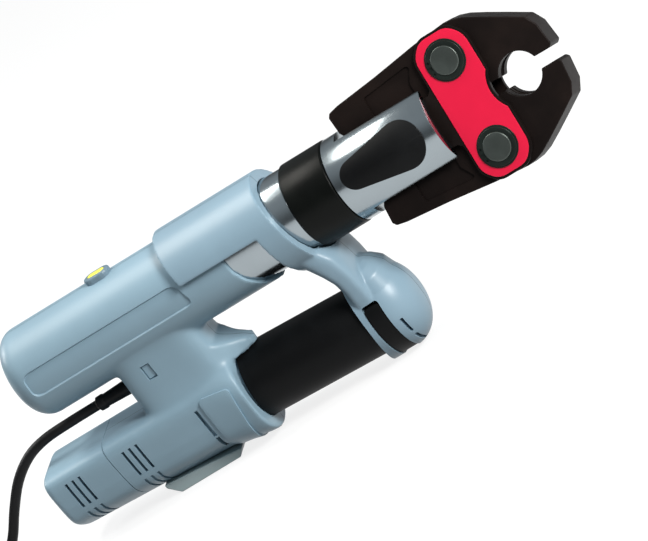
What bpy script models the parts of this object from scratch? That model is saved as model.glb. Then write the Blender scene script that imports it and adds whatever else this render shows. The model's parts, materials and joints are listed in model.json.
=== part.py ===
"""Electro-hydraulic pipe press tool with a swivelling fork head and a pair of press jaws.

The tool stands upright on its base rail and the bottom of its trigger guard. +X runs forward to the
jaws, +Z is up, y = 0 is the parting plane of the housing, and the origin is the centre of the rail's foot.
"""

import math

import bmesh
import bpy
from mathutils import Matrix, Vector

# Driving dimensions, in metres. Heights named *_z are measured from the barrel's axis unless said.
AXIS_Z = 0.114
GAP = 0.0003
ROUND = 40

BARREL_R = 0.030
BARREL_WALL = 0.0022
BARREL_REAR_X = -0.066
BARREL_REAR_ROUND = 0.013
BARREL_FRONT_X = 0.122

CASE_WALL = 0.0026
CASE_REAR_X = -0.086
CASE_REAR_ROUND = 0.004
CASE_SEAM_TOP_X = -0.0420
CASE_SEAM_LEAN = -0.03
CASE_FRONT_X = 0.0585
CASE_HALF_WIDTH = 0.0255
CASE_TOP_Z = -0.0575
CASE_BOTTOM_Z = -0.1065
CASE_BOTTOM_SLOPE = -0.085
CASE_DRAFT = 0.10
CASE_SQUARENESS = 5.6

BRIDGE_REAR_X = -0.0075
BRIDGE_FRONT_TOP_X = 0.0540
BRIDGE_FRONT_BOW = 1.2
BRIDGE_HALF_WIDTH = 0.0225
BRIDGE_FLARE = 1.25

VENT_WIDTH = 0.0014
VENT_PITCH = 0.005
VENT_GROUPS_X = (-0.0665, -0.026)
VENT_TOP_Z = -0.068
VENT_BOTTOM_Z = -0.088
CORNER_VENT_TOP_Z = -0.0925
VENT_DEPTH = 0.006
PAD_PROUD = 0.0008
PAD_BACK_X = 0.0295
PAD_TOP_Z = -0.0645
SIDE_SLOT_X = 0.0247
SIDE_SLOT_WIDTH = 0.0018
SIDE_SLOTS_Z = ((-0.0900, -0.0688), (-0.0965, -0.0915))

RAIL_HALF_LENGTH = 0.028
RAIL_NOSE = 0.007
RAIL_HALF_WIDTH = 0.0125

GRIP_REAR_X = 0.062
GRIP_LENGTH = 0.088
GRIP_REAR_Z = -0.081
GRIP_DROP = math.radians(2.3)
GRIP_R = 0.02375
GRIP_SLEEVE_WALL = 0.0022
GRIP_TUBE_WALL = 0.0022
GRIP_TUBE_SEAT = 0.006
RIM_R = 0.0315
TONGUE_R = 0.0287
TONGUE_TIP_X = 0.0768
TONGUE_LENGTH = 0.034
TONGUE_WIDTH = 0.017

COLLAR_R = 0.035
COLLAR_REAR_X = 0.063
COLLAR_FRONT_TOP_X = 0.138
COLLAR_FRONT_BOTTOM_X = 0.153
COLLAR_SKIRT_Z = 0.007
COLLAR_BACK_BOTTOM_X = 0.134

GUARD_WALL = 0.0026
BULB_REAR_X = 0.1378
BULB_FRONT_X = 0.1825
BULB_MIDDLE_X = 0.1440
BULB_SIDE_X = 0.1475
BULB_Z = -0.0835
BULB_R = 0.0305
BULB_SQUASH = 0.84
GUARD_SLOT_X = 0.169
GUARD_SLOTS = ((-0.0992, -0.0870, 0.012), (-0.1115, -0.1018, 0.005))

TRIGGER_REAR_X = 0.1515
TRIGGER_FRONT_X = 0.163
TRIGGER_TOP_Z = -0.071
TRIGGER_TRAVEL = 0.002
TRIGGER_INSET = 0.0009
TRIGGER_THICKNESS = 0.0034

LED_X = 0.0175
LED_LENGTH = 0.019
LED_WIDTH = 0.012
LED_TOP_Z = 0.0335
LED_BASE_Z = 0.0272
LENS_LENGTH = 0.0125
LENS_WIDTH = 0.0056

BUTTON_X = 0.0145
BUTTON_Z = -0.0325
BUTTON_WIDTH = 0.006
BUTTON_HEIGHT = 0.010

SUPPLY_HALF_LENGTH = 0.034
SUPPLY_HALF_WIDTH = 0.0165
SUPPLY_TOP_Z = -0.0668
SUPPLY_HEIGHT = 0.0265
SUPPLY_FINS = 6
FILTER_R = 0.012
FILTER_LENGTH = 0.032

SCREW_R = 0.0026
SCREW_LENGTH = 0.0034
SCREW_PLACES = ((-0.040, -0.010, 0.0274), (0.040, -0.012, 0.0268), (0.010, -0.045, 0.0216), (0.048, -0.045, 0.0206))

CYLINDER_R = 0.0275
CYLINDER_REAR_X = 0.062
CYLINDER_FRONT_X = 0.1552
CYLINDER_BORE_R = 0.0195
PUMP_FRONT_X = CYLINDER_REAR_X - GAP
PUMP_LENGTH = 0.022
GEARBOX_LENGTH = 0.026
MOTOR_LENGTH = 0.060
DRIVE_R = 0.0235

HEAD_ROLL = math.radians(-17.0)
HEAD_R = 0.0283
RING_REAR_X = 0.1555
RING_FRONT_X = 0.1868
RING_R = 0.0288
SPIGOT_R = 0.0243
HEAD_FRONT_X = 0.2623
HEAD_BORE_R = 0.0216
HEAD_FLOOR_X = 0.165
SLOT_REAR_X = 0.198

JAW_HALF_THICKNESS = 0.0103
PLATE_THICKNESS = 0.0045
PLATE_INNER_Y = JAW_HALF_THICKNESS + GAP
PLATE_OUTER_Y = PLATE_INNER_Y + PLATE_THICKNESS
SLOT_HALF = PLATE_OUTER_Y + 0.0004

PIN_X = 0.2872
PIN_Q = 0.0308
PIN_R = 0.00925
PIN_HALF_LENGTH = 0.0176
CLIP_R = 0.0128
CLIP_THICKNESS = 0.0013
THROAT_X = 0.322
THROAT_R = 0.0139
TIP_HALF_GAP = 0.0042

BOLT_X = 0.243
BOLT_R = 0.0065
BOLT_NEAR_Y = -0.022
BOLT_FAR_Y = 0.0305
KNOB_R = 0.0105
KNOB_LENGTH = 0.008

ROD_R = 0.012
ROD_REAR_X = 0.100
PISTON_LENGTH = 0.010
ROLLER_X = 0.1855
ROLLER_R = 0.009
ROLLER_Q = 0.0093
ROLLER_HALF_WIDTH = 0.0064
YOKE_PLATE = 0.003
YOKE_FLANGE_R = 0.0168
YOKE_HALF_HEIGHT = 0.0134
AXLE_R = 0.004

PAD_REAR_X = 0.1940
PAD_FRONT_X = 0.2540
PAD_SMALL_R = 0.0098
PAD_LARGE_R = 0.0160
PAD_THICKNESS = 0.0012

CORD_R = 0.0034
CORD_SIDES_RESOLUTION = 2
COIL_CENTRE = Vector((-0.262, 0.030, 0.0))
COIL_MEAN_R = 0.041
COIL_TURNS_HIGH = 3
COIL_SIDES = 32
COIL_TURNS_WIDE = 3
GLAND_FRONT_X = -0.0085
GLAND_LENGTH = 0.0265
GLAND_Z = -0.0405
GLAND_R = 0.00475

BODY = Matrix.Translation((0.0, 0.0, AXIS_Z))
HEAD = BODY @ Matrix.Rotation(HEAD_ROLL, 4, "X")
Z_TO_X = Matrix.Rotation(math.radians(90.0), 4, "Y")
GRIP = BODY @ Matrix.Translation((GRIP_REAR_X, 0.0, GRIP_REAR_Z)) @ Matrix.Rotation(GRIP_DROP, 4, "Y")

MATERIALS = {
    "housing_grey": ((0.36, 0.46, 0.54), 0.42, 0.0),
    "guard_grey": ((0.42, 0.53, 0.61), 0.40, 0.0),
    "rubber_black": ((0.012, 0.013, 0.014), 0.60, 0.0),
    "chrome": ((0.72, 0.74, 0.76), 0.16, 1.0),
    "black_oxide": ((0.020, 0.019, 0.018), 0.38, 0.6),
    "plate_red": ((0.80, 0.02, 0.04), 0.35, 0.0),
    "steel": ((0.45, 0.46, 0.47), 0.30, 1.0),
    "cast_alloy": ((0.50, 0.51, 0.52), 0.45, 1.0),
    "lens_yellow": ((0.95, 0.85, 0.10), 0.25, 0.0),
    "bezel_grey": ((0.50, 0.56, 0.58), 0.35, 0.0),
    "board_green": ((0.02, 0.18, 0.08), 0.50, 0.0),
    "cord_black": ((0.015, 0.015, 0.016), 0.50, 0.0),
}


def clear_scene():
    for item in list(bpy.data.objects):
        bpy.data.objects.remove(item, do_unlink=True)


def material(name):
    found = bpy.data.materials.get(name)
    if found:
        return found
    colour, roughness, metallic = MATERIALS[name]
    made = bpy.data.materials.new(name)
    made.use_nodes = True
    shader = made.node_tree.nodes["Principled BSDF"]
    shader.inputs["Base Color"].default_value = (*colour, 1.0)
    shader.inputs["Roughness"].default_value = roughness
    shader.inputs["Metallic"].default_value = metallic
    made.diffuse_color = (*colour, 1.0)
    return made


def collection(name):
    found = bpy.data.collections.get(name)
    if not found:
        found = bpy.data.collections.new(name)
        bpy.context.scene.collection.children.link(found)
    return found


def add_mesh(name, bm, place, paint):
    """Put a bmesh into the scene, with its faces pointing out."""
    bmesh.ops.remove_doubles(bm, verts=bm.verts, dist=1e-6)
    bmesh.ops.recalc_face_normals(bm, faces=bm.faces)
    mesh = bpy.data.meshes.new(name)
    bm.to_mesh(mesh)
    bm.free()
    mesh.transform(place)
    mesh.shade_smooth()
    mesh.set_sharp_from_angle(angle=math.radians(35.0))
    made = bpy.data.objects.new(name, mesh)
    collection("pipe_press_tool").objects.link(made)
    mesh.materials.append(material(paint))
    return made


def bake(item):
    """Replace an object's mesh with what its modifiers make of it."""
    bpy.context.view_layer.update()
    graph = bpy.context.evaluated_depsgraph_get()
    made = bpy.data.meshes.new_from_object(item.evaluated_get(graph))
    item.modifiers.clear()
    item.data = made
    made.shade_smooth()
    made.set_sharp_from_angle(angle=math.radians(35.0))
    return item


def combine(item, other, operation):
    """Cut, join or intersect an object with another, which is used up."""
    modifier = item.modifiers.new(operation.lower(), "BOOLEAN")
    modifier.operation = operation
    modifier.solver = "EXACT"
    modifier.object = other
    bake(item)
    bpy.data.objects.remove(other, do_unlink=True)
    return item


def cut(item, *cutters):
    for cutter in cutters:
        combine(item, cutter, "DIFFERENCE")
    return item


def join(item, *others):
    for other in others:
        combine(item, other, "UNION")
    return item


def bevel(item, width, segments=2, angle=40.0):
    modifier = item.modifiers.new("edge", "BEVEL")
    modifier.width = width
    modifier.segments = segments
    modifier.limit_method = "ANGLE"
    modifier.angle_limit = math.radians(angle)
    return bake(item)


def copy_of(item, name, paint=None):
    made = item.copy()
    made.data = item.data.copy()
    made.name = name
    if paint:
        made.data.materials.clear()
        made.data.materials.append(material(paint))
    collection("pipe_press_tool").objects.link(made)
    return made


def box(name, low, high, place=BODY, paint="steel"):
    """A box between two corners."""
    bm = bmesh.new()
    bmesh.ops.create_cube(bm, size=1.0)
    size = [h - l for l, h in zip(low, high)]
    middle = [(h + l) / 2 for l, h in zip(low, high)]
    bmesh.ops.scale(bm, vec=size, verts=bm.verts)
    bmesh.ops.translate(bm, vec=middle, verts=bm.verts)
    return add_mesh(name, bm, place, paint)


def turned(name, profile, place=BODY, paint="steel", sides=ROUND, closed=False):
    """A profile of (distance along the axis, radius) points turned round +X with a Screw modifier."""
    bm = bmesh.new()
    points = [bm.verts.new((radius, 0.0, along)) for along, radius in profile]
    for start, end in zip(points, points[1:]):
        bm.edges.new((start, end))
    if closed:
        bm.edges.new((points[-1], points[0]))
    mesh = bpy.data.meshes.new(name)
    bm.to_mesh(mesh)
    bm.free()
    made = bpy.data.objects.new(name, mesh)
    collection("pipe_press_tool").objects.link(made)
    screw = made.modifiers.new("turn", "SCREW")
    screw.axis = "Z"
    screw.steps = sides
    screw.render_steps = sides
    screw.use_merge_vertices = True
    screw.merge_threshold = 1e-6
    bake(made)
    done = bmesh.new()
    done.from_mesh(made.data)
    bpy.data.objects.remove(made, do_unlink=True)
    return add_mesh(name, done, place @ Z_TO_X, paint)


def tube(name, x0, x1, inner, outer, place=BODY, paint="steel", sides=ROUND, chamfer=0.0):
    c = chamfer
    profile = [(x0, inner), (x0, outer - c), (x0 + c, outer), (x1 - c, outer), (x1, outer - c), (x1, inner)]
    if not c:
        profile = [(x0, inner), (x0, outer), (x1, outer), (x1, inner)]
    return turned(name, profile, place, paint, sides, closed=True)


def rod(name, x0, x1, radius, place=BODY, paint="steel", sides=28, chamfer=0.0):
    c = chamfer
    profile = [(x0, 0.0), (x0, radius - c), (x0 + c, radius), (x1 - c, radius), (x1, radius - c), (x1, 0.0)]
    if not c:
        profile = [(x0, 0.0), (x0, radius), (x1, radius), (x1, 0.0)]
    return turned(name, profile, place, paint, sides)


def cross_rod(name, x, z, y0, y1, radius, place=BODY, paint="steel", sides=32, chamfer=0.0):
    """A round bar along +Y at (x, z)."""
    swing = Matrix.Translation((x, 0.0, z)) @ Matrix.Rotation(math.radians(90.0), 4, "Z")
    return rod(name, y0, y1, radius, place @ swing, paint, sides, chamfer)


def cross_tube(name, x, z, y0, y1, inner, outer, place=BODY, paint="steel", sides=32, chamfer=0.0):
    swing = Matrix.Translation((x, 0.0, z)) @ Matrix.Rotation(math.radians(90.0), 4, "Z")
    return tube(name, y0, y1, inner, outer, place @ swing, paint, sides, chamfer)


def slab(name, outline, y0, y1, place=BODY, paint="steel"):
    """A flat outline of (x, z) points given thickness from y0 to y1."""
    bm = bmesh.new()
    face = bm.faces.new([bm.verts.new((x, y0, z)) for x, z in outline])
    pushed = bmesh.ops.extrude_face_region(bm, geom=[face])
    moved = [g for g in pushed["geom"] if isinstance(g, bmesh.types.BMVert)]
    bmesh.ops.translate(bm, vec=(0.0, y1 - y0, 0.0), verts=moved)
    return add_mesh(name, bm, place, paint)


def loft(name, rings, place=BODY, paint="housing_grey"):
    """A closed skin through rings that all have the same number of points."""
    bm = bmesh.new()
    made = [[bm.verts.new(point) for point in ring] for ring in rings]
    for near, far in zip(made, made[1:]):
        for k in range(len(near)):
            nxt = (k + 1) % len(near)
            bm.faces.new((near[k], near[nxt], far[nxt], far[k]))
    bm.faces.new(made[0])
    bm.faces.new(made[-1])
    return add_mesh(name, bm, place, paint)


def squircle(half_a, half_b, power, count=40, draft=0.0):
    """Points (a, b) of a rounded rectangle, narrower by draft towards its low side."""
    points = []
    for k in range(count):
        angle = 2.0 * math.pi * k / count
        ca, sa = math.cos(angle), math.sin(angle)
        b = math.copysign(abs(sa) ** (2.0 / power), sa)
        a = math.copysign(abs(ca) ** (2.0 / power), ca) * (1.0 + draft * b)
        points.append((half_a * a, half_b * b))
    return points


def arc(cx, cz, radius, start, end, count):
    """Points on a circle from one angle to another, in degrees."""
    angles = [math.radians(start + (end - start) * k / count) for k in range(count + 1)]
    return [(cx + radius * math.cos(a), cz + radius * math.sin(a)) for a in angles]


def case_bottom(x):
    return CASE_BOTTOM_Z + CASE_BOTTOM_SLOPE * x


def case_section(x, shrink, inset=0.0):
    """One ring of the lower case at x, from a drafted box at the rear to the round rim at the front."""
    blend = min(max((x - 0.020) / (CASE_FRONT_X - 0.020), 0.0), 1.0) ** 1.6
    top = CASE_TOP_Z * (1.0 - blend) + (GRIP_REAR_Z + RIM_R) * blend - shrink
    low = case_bottom(x) * (1.0 - blend) + (GRIP_REAR_Z - RIM_R) * blend + shrink
    wide = CASE_HALF_WIDTH * (1.0 - blend) + RIM_R * blend - shrink
    power = CASE_SQUARENESS * (1.0 - blend) + 2.1 * blend
    draft = CASE_DRAFT * (1.0 - blend)
    middle, half = (top + low) / 2, (top - low) / 2
    ring = squircle(wide - inset, half - inset, power, 36, draft)
    return [Vector((x, a, middle + b)) for a, b in ring]


def lower_case(name, x0, x1, shrink, round_rear):
    """The lower case between x0 and x1, its skin moved in by shrink."""
    rings = []
    if round_rear:
        for k in range(4):
            turn = math.radians(90.0 * k / 3)
            inset = CASE_REAR_ROUND * (1.0 - math.sin(turn))
            rings.append(case_section(x0 + CASE_REAR_ROUND * (1.0 - math.cos(turn)), shrink, inset))
    else:
        rings.append(case_section(x0, shrink))
    steps = max(1, round((x1 - rings[-1][0].x) / 0.014))
    start = rings[-1][0].x
    rings += [case_section(start + (x1 - start) * k / steps, shrink) for k in range(1, steps + 1)]
    return loft(name, rings)


def barrel_solid(name, radius, x0, x1, rounding):
    curve = [(x0 + rounding * (1 - math.cos(a)), radius - rounding * (1 - math.sin(a)))
             for a in (math.radians(22.5 * k) for k in range(5))]
    return turned(name, [(x0, 0.0)] + curve + [(x1, radius), (x1, 0.0)], paint="housing_grey")


def bridge_solid(name, shrink):
    """The neck between the barrel and the lower case, wider where it meets each of them."""
    rings = []
    x0 = BRIDGE_REAR_X + shrink
    for k in range(6):
        t = k / 5
        z = -0.016 + t * (CASE_TOP_Z - 0.006 + 0.016)
        x1 = BRIDGE_FRONT_TOP_X + (CASE_FRONT_X - 0.0002 - BRIDGE_FRONT_TOP_X) * t ** BRIDGE_FRONT_BOW - shrink
        flare = 1.0 + (BRIDGE_FLARE - 1.0) * (2.0 * t - 1.0) ** 4 * (1.0 if t < 0.5 else 0.35)
        ring = squircle((x1 - x0) / 2, BRIDGE_HALF_WIDTH * flare - shrink, 5.0, 28)
        rings.append([Vector(((x0 + x1) / 2 + a, b, z)) for a, b in ring])
    return loft(name, rings)


def seam_cutter(name, ahead, clearance):
    """Everything ahead of the leaning seam of the lower case, or everything behind it."""
    edge = [(CASE_SEAM_TOP_X + CASE_SEAM_LEAN * (z - CASE_TOP_Z) + clearance, z) for z in (-0.125, CASE_TOP_Z + 0.003)]
    far = 0.02 if ahead else -0.12
    return slab(name, edge + [(far, edge[1][1]), (far, edge[0][1])], -0.04, 0.04)


def swept_cutter(name, middle_x, side_x, half_width, far_x, z0, z1):
    """An upright block whose face is bowed: middle_x on the parting plane and side_x at half_width."""
    bow = [(middle_x + (side_x - middle_x) * (k / 6) ** 2, half_width * k / 6) for k in range(-8, 9)]
    outline = bow + [(far_x, 0.05), (far_x, -0.05)]
    made = slab(name, outline, -z1, -z0, Matrix.Identity(4))
    made.data.transform(BODY @ Matrix.Rotation(math.radians(-90.0), 4, "X"))
    return made


def rim_tongue():
    """The finger of the front rim that runs out over the top of the grip."""
    rear = CASE_FRONT_X - GRIP_REAR_X - 0.002
    lip = tube("tongue", rear, TONGUE_TIP_X - GRIP_REAR_X + 0.004, GRIP_R + GAP, TONGUE_R, GRIP, "housing_grey", 36)
    keep = upright_stadium("keep", TONGUE_TIP_X - TONGUE_LENGTH / 2, TONGUE_LENGTH, TONGUE_WIDTH, GRIP_REAR_Z,
                           GRIP_REAR_Z + 0.05)
    return combine(lip, keep, "INTERSECT")


def side_pads():
    """The raised pads on both sides of the lower case, just behind the front rim."""
    band = lower_case("pads", PAD_BACK_X, CASE_FRONT_X - 0.0015, -PAD_PROUD, False)
    return combine(band, box("keep", (0.0, -0.05, -0.15), (0.10, 0.05, PAD_TOP_Z)), "INTERSECT")


def side_slots():
    made = None
    for z0, z1 in SIDE_SLOTS_Z:
        for side in (-1.0, 1.0):
            y0, y1 = sorted((side * 0.021, side * 0.040))
            half = SIDE_SLOT_WIDTH / 2
            slot = box("slot", (SIDE_SLOT_X - half, y0, z0), (SIDE_SLOT_X + half, y1, z1))
            made = join(made, slot) if made else slot
    return made


def vent_cutter(name, centre_x):
    """Three upright slots on each side, and three more round each lower corner."""
    made = None
    for side in (-1.0, 1.0):
        for k in (-1, 0, 1):
            x = centre_x + k * VENT_PITCH
            y0, y1 = sorted((side * (CASE_HALF_WIDTH - VENT_DEPTH - 0.004), side * (CASE_HALF_WIDTH + 0.005)))
            half = VENT_WIDTH / 2
            upper = box(name, (x - half, y0, VENT_BOTTOM_Z), (x + half, y1, VENT_TOP_Z))
            y2, y3 = sorted((side * 0.0145, side * 0.030))
            lower = box(name + "_low", (x - half, y2, case_bottom(x) - 0.004), (x + half, y3, CORNER_VENT_TOP_Z))
            join(upper, lower)
            made = join(made, upper) if made else upper
    return made


def halve(whole, names):
    """Split a symmetric shell at the parting plane: the left half is cut, and the right one mirrors it."""
    far = 0.3
    cut(whole, box("waste", (-far, -far, -far), (far + 0.1, GAP / 2, far)))
    left = whole
    left.name = names[1]
    right = copy_of(left, names[0])
    bm = bmesh.new()
    bm.from_mesh(right.data)
    bmesh.ops.scale(bm, vec=(1.0, -1.0, 1.0), verts=bm.verts)
    bmesh.ops.reverse_faces(bm, faces=bm.faces)
    bm.to_mesh(right.data)
    bm.free()
    return right, left


def stadium(cx, cz, length, width, count=8):
    half = (length - width) / 2
    return (arc(cx + half, cz, width / 2, -90.0, 90.0, count)
            + arc(cx - half, cz, width / 2, 90.0, 270.0, count))


def upright_stadium(name, x, length, width, z0, z1, paint="bezel_grey"):
    """A long rounded block standing along +Z on the parting plane."""
    turn = Matrix.Rotation(math.radians(-90.0), 4, "X")
    made = slab(name, stadium(x, 0.0, length, width), -z1, -z0, Matrix.Identity(4), paint)
    made.data.transform(BODY @ turn)
    return made


def barrel_rim_cutter():
    """Takes off the barrel ahead of its slanting front rim."""
    rim = [(0.1006, 0.040), (0.1006, 0.006), (0.1015, -0.004), (0.1045, -0.014), (0.1105, -0.024),
           (0.1215, -0.0315), (0.130, -0.040)]
    return slab("rim_cutter", rim + [(0.16, -0.040), (0.16, 0.040)], -0.05, 0.05)


def button_opening(name, clearance, y0, y1):
    half_w, half_h = BUTTON_WIDTH / 2 + clearance, BUTTON_HEIGHT / 2 + clearance
    return box(name, (BUTTON_X - half_w, y0, BUTTON_Z - half_h), (BUTTON_X + half_w, y1, BUTTON_Z + half_h))


def housing_shells():
    """Left and right halves of the barrel, the bridge and the front of the lower case."""
    whole = barrel_solid("whole", BARREL_R, BARREL_REAR_X, BARREL_FRONT_X, BARREL_REAR_ROUND)
    cut(whole, barrel_rim_cutter())
    join(whole, bridge_solid("bridge", 0.0),
         lower_case("lower", CASE_SEAM_TOP_X - 0.018, CASE_FRONT_X, 0.0, False), side_pads(), rim_tongue())
    cut(whole, seam_cutter("seam", False, GAP))
    hollow = barrel_solid("hollow", BARREL_R - BARREL_WALL, BARREL_REAR_X + CASE_WALL, BARREL_FRONT_X + 0.01,
                          BARREL_REAR_ROUND - CASE_WALL)
    join(hollow, bridge_solid("bridge_hollow", CASE_WALL),
         lower_case("lower_hollow", CASE_SEAM_TOP_X - 0.028, CASE_FRONT_X - CASE_WALL, CASE_WALL, False))
    cut(whole, hollow, vent_cutter("vents", VENT_GROUPS_X[1]), side_slots())
    cut(whole, rod("grip_hole", -0.012, 0.004, GRIP_R - GRIP_SLEEVE_WALL + GAP, GRIP, sides=36))
    cut(whole, upright_stadium("led_hole", LED_X, LED_LENGTH + 2 * GAP, LED_WIDTH + 2 * GAP, 0.020, 0.040))
    gland_hole = rod("gland_hole", BRIDGE_REAR_X - 0.006, BRIDGE_REAR_X + 0.006, GLAND_R * 0.7 + GAP, sides=24)
    gland_hole.data.transform(Matrix.Translation((0.0, 0.0, GLAND_Z)))
    cut(whole, gland_hole)
    right, left = halve(whole, ("right_housing_shell", "left_housing_shell"))
    cut(right, button_opening("button_hole", GAP, -0.030, -0.012))
    for x, z, y in SCREW_PLACES:
        cut(left, cross_rod("hole", x, z, y - 0.006, y + 0.006, SCREW_R + GAP, sides=16))


def rear_cover():
    cover = lower_case("rear_cover", CASE_REAR_X, CASE_SEAM_TOP_X + 0.002, 0.0, True)
    hollow = lower_case("cover_hollow", CASE_REAR_X + CASE_WALL, CASE_SEAM_TOP_X + 0.012, CASE_WALL, False)
    cut(cover, hollow, seam_cutter("seam", True, 0.0), vent_cutter("rear_vents", VENT_GROUPS_X[0]))


def slanted_ring(name, inner, outer, x0_top, x0_low, x1_top, x1_low, paint="guard_grey"):
    """A ring round the barrel's axis whose ends lean, given at the top and the bottom."""
    blank = tube(name, min(x0_top, x0_low) - 0.01, max(x1_top, x1_low) + 0.01, inner, outer, paint=paint)
    lean_low = [(x0_low + (x0_low - x0_top) * 0.2, -outer * 1.4), (x1_low + (x1_low - x1_top) * 0.2, -outer * 1.4),
                (x1_top - (x1_low - x1_top) * 0.2, outer * 1.4), (x0_top - (x0_low - x0_top) * 0.2, outer * 1.4)]
    return combine(blank, slab("keep", lean_low, -0.06, 0.06), "INTERSECT")


def collar_solid():
    """The saddle over the barrel's front and the ring that it runs out into."""
    ring = slanted_ring("collar", CYLINDER_R + GAP, COLLAR_R, 0.1245, COLLAR_BACK_BOTTOM_X,
                        COLLAR_FRONT_TOP_X, COLLAR_FRONT_BOTTOM_X)
    saddle = slanted_ring("saddle", BARREL_R + GAP, COLLAR_R, COLLAR_REAR_X, 0.080, 0.129, 0.129)
    keep = box("keep", (0.04, -0.05, COLLAR_SKIRT_Z), (0.16, 0.05, 0.05))
    combine(saddle, keep, "INTERSECT")
    return join(ring, saddle)


def guard_section(x0, x1, z0, z1, half_width, front_power, shrink=0.0):
    """A ring across the guard from (x0, z0) behind to (x1, z1) in front, where its corners are squarer."""
    inner, outer = Vector((x0, 0.0, z0)), Vector((x1, 0.0, z1))
    middle, half = (inner + outer) / 2, (outer - inner) / 2
    unit = half.normalized()
    front, rear = (squircle(half.length - shrink, half_width - shrink, power, 24)
                   for power in (front_power, ARM_REAR_POWER))
    ring = [ahead if ahead[0] > 0.0 else behind for ahead, behind in zip(front, rear)]
    return [middle + unit * a + Vector((0.0, b, 0.0)) for a, b in ring]


ARM_REAR_POWER = 2.4
ARM_FRONT_POWER = 5.0
ARM_STATIONS = (
    (0.1290, 0.1530, -0.0200, -0.0220, 0.0262), (0.1345, 0.1590, -0.0310, -0.0310, 0.0258),
    (0.1400, 0.1607, -0.0400, -0.0385, 0.0255), (0.1438, 0.1620, -0.0480, -0.0465, 0.0250),
    (0.1450, 0.1628, -0.0560, -0.0550, 0.0245), (0.1445, 0.1632, -0.0640, -0.0640, 0.0238),
    (0.1432, 0.1632, -0.0740, -0.0740, 0.0225),
)
BROW_POWER = 2.2
BROW_STATIONS = (
    (0.1500, 0.1622, -0.0490, -0.0482, 0.0040), (0.1480, 0.1668, -0.0540, -0.0507, 0.0115),
    (0.1450, 0.1735, -0.0610, -0.0562, 0.0170), (0.1430, 0.1778, -0.0700, -0.0660, 0.0200),
    (0.1415, 0.1790, -0.0800, -0.0780, 0.0200),
)


def arm_solid(name, shrink):
    """The flat-fronted arm that runs down from the collar into the domed end."""
    return loft(name, [guard_section(*s, ARM_FRONT_POWER, shrink) for s in ARM_STATIONS], paint="guard_grey")


def brow_solid():
    """The ridge over the domed end, where it swells out of the arm's front."""
    return loft("brow", [guard_section(*s, BROW_POWER) for s in BROW_STATIONS], paint="guard_grey")


def bulb_solid(name, shrink, x0=BULB_REAR_X, paint="guard_grey"):
    """The domed front end of the guard, turned round the grip's axis and squashed sideways."""
    start, flat, radius = x0 - BULB_REAR_X, 0.022, BULB_R - shrink
    depth = BULB_FRONT_X - BULB_REAR_X - flat - shrink
    profile = [(start, 0.0), (start, radius - 0.0015), (start + 0.004, radius)]
    profile += [(flat + depth * math.sin(a), radius * math.cos(a) ** 0.8)
                for a in (math.radians(18.0 * k) for k in range(5))]
    profile += [(flat + depth, 0.0)]
    place = Matrix.Translation((BULB_REAR_X, 0.0, BULB_Z)) @ Matrix.Diagonal((1.0, BULB_SQUASH, 1.0, 1.0))
    return turned(name, profile, BODY @ place, paint, 32)


def guard_slots():
    made = None
    for z0, z1, y in GUARD_SLOTS:
        slot = box("slot", (GUARD_SLOT_X - 0.0008, -0.04, z0), (GUARD_SLOT_X + 0.0008, -y, z1))
        far = box("slot", (GUARD_SLOT_X - 0.0008, y, z0), (GUARD_SLOT_X + 0.0008, 0.04, z1))
        join(slot, far)
        made = join(made, slot) if made else slot
    return made


def trigger_window(name, clearance, top_z):
    return box(name, (TRIGGER_REAR_X - clearance, -0.05, BULB_Z - 0.05), (TRIGGER_FRONT_X + clearance, 0.05, top_z))


def guard_shells():
    """Left and right halves of the collar, the guard arm and its domed end."""
    whole = join(collar_solid(), arm_solid("arm", 0.0), brow_solid(), bulb_solid("bulb", 0.0))
    hollow_rear_x = GRIP_REAR_X + GRIP_LENGTH - 0.0015
    hollow = join(bulb_solid("bulb_hollow", GUARD_WALL, hollow_rear_x), arm_solid("arm_hollow", GUARD_WALL))
    lid = box("lid", (0.10, -0.05, -0.045), (0.20, 0.05, 0.0))
    cut(hollow, lid)
    cut(whole, hollow, rod("bore", 0.05, 0.25, CYLINDER_R + GAP, sides=ROUND))
    cut(whole, rod("ring_clearance", COLLAR_FRONT_BOTTOM_X - 0.0005, 0.25, RING_R + 0.001, sides=ROUND))
    cut(whole, rod("grip_socket", 0.060, GRIP_LENGTH + GAP, GRIP_R + GAP, GRIP, sides=36))
    cut(whole, swept_cutter("swept_rear", BULB_MIDDLE_X, BULB_SIDE_X, BULB_R * BULB_SQUASH, 0.10,
                            -0.125, BULB_Z + BULB_R + 0.001))
    cut(whole, trigger_window("window", GAP, TRIGGER_TOP_Z + TRIGGER_TRAVEL + GAP), guard_slots())
    cut(whole, box("foot_trim", (0.10, -0.05, -AXIS_Z - 0.01), (0.20, 0.05, -AXIS_Z)))
    halve(whole, ("right_guard_shell", "left_guard_shell"))


def trigger_and_switch():
    band = bulb_solid("trigger", TRIGGER_INSET, BULB_REAR_X, "rubber_black")
    combine(band, trigger_window("keep", 0.0, TRIGGER_TOP_Z), "INTERSECT")
    cut(band, bulb_solid("core", TRIGGER_INSET + TRIGGER_THICKNESS, BULB_REAR_X - 0.01))
    stem_top = BULB_Z - 0.012
    stem = box("stem", (TRIGGER_REAR_X + 0.003, -0.004, BULB_Z - BULB_R + TRIGGER_INSET + TRIGGER_THICKNESS / 2),
               (TRIGGER_FRONT_X - 0.003, 0.004, stem_top), paint="rubber_black")
    join(band, stem)
    switch_low = stem_top + TRIGGER_TRAVEL + GAP
    seat = rod("trigger_switch", GRIP_LENGTH - 0.006, GRIP_LENGTH + 0.001,
               GRIP_R - GRIP_SLEEVE_WALL - GRIP_TUBE_WALL - GAP, GRIP, "rubber_black", 24)
    rear = GRIP.translation.x + GRIP_LENGTH - 0.0035
    join(seat, box("body", (rear, -0.0075, switch_low), (TRIGGER_FRONT_X + 0.008, 0.0075, switch_low + 0.016)))


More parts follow.
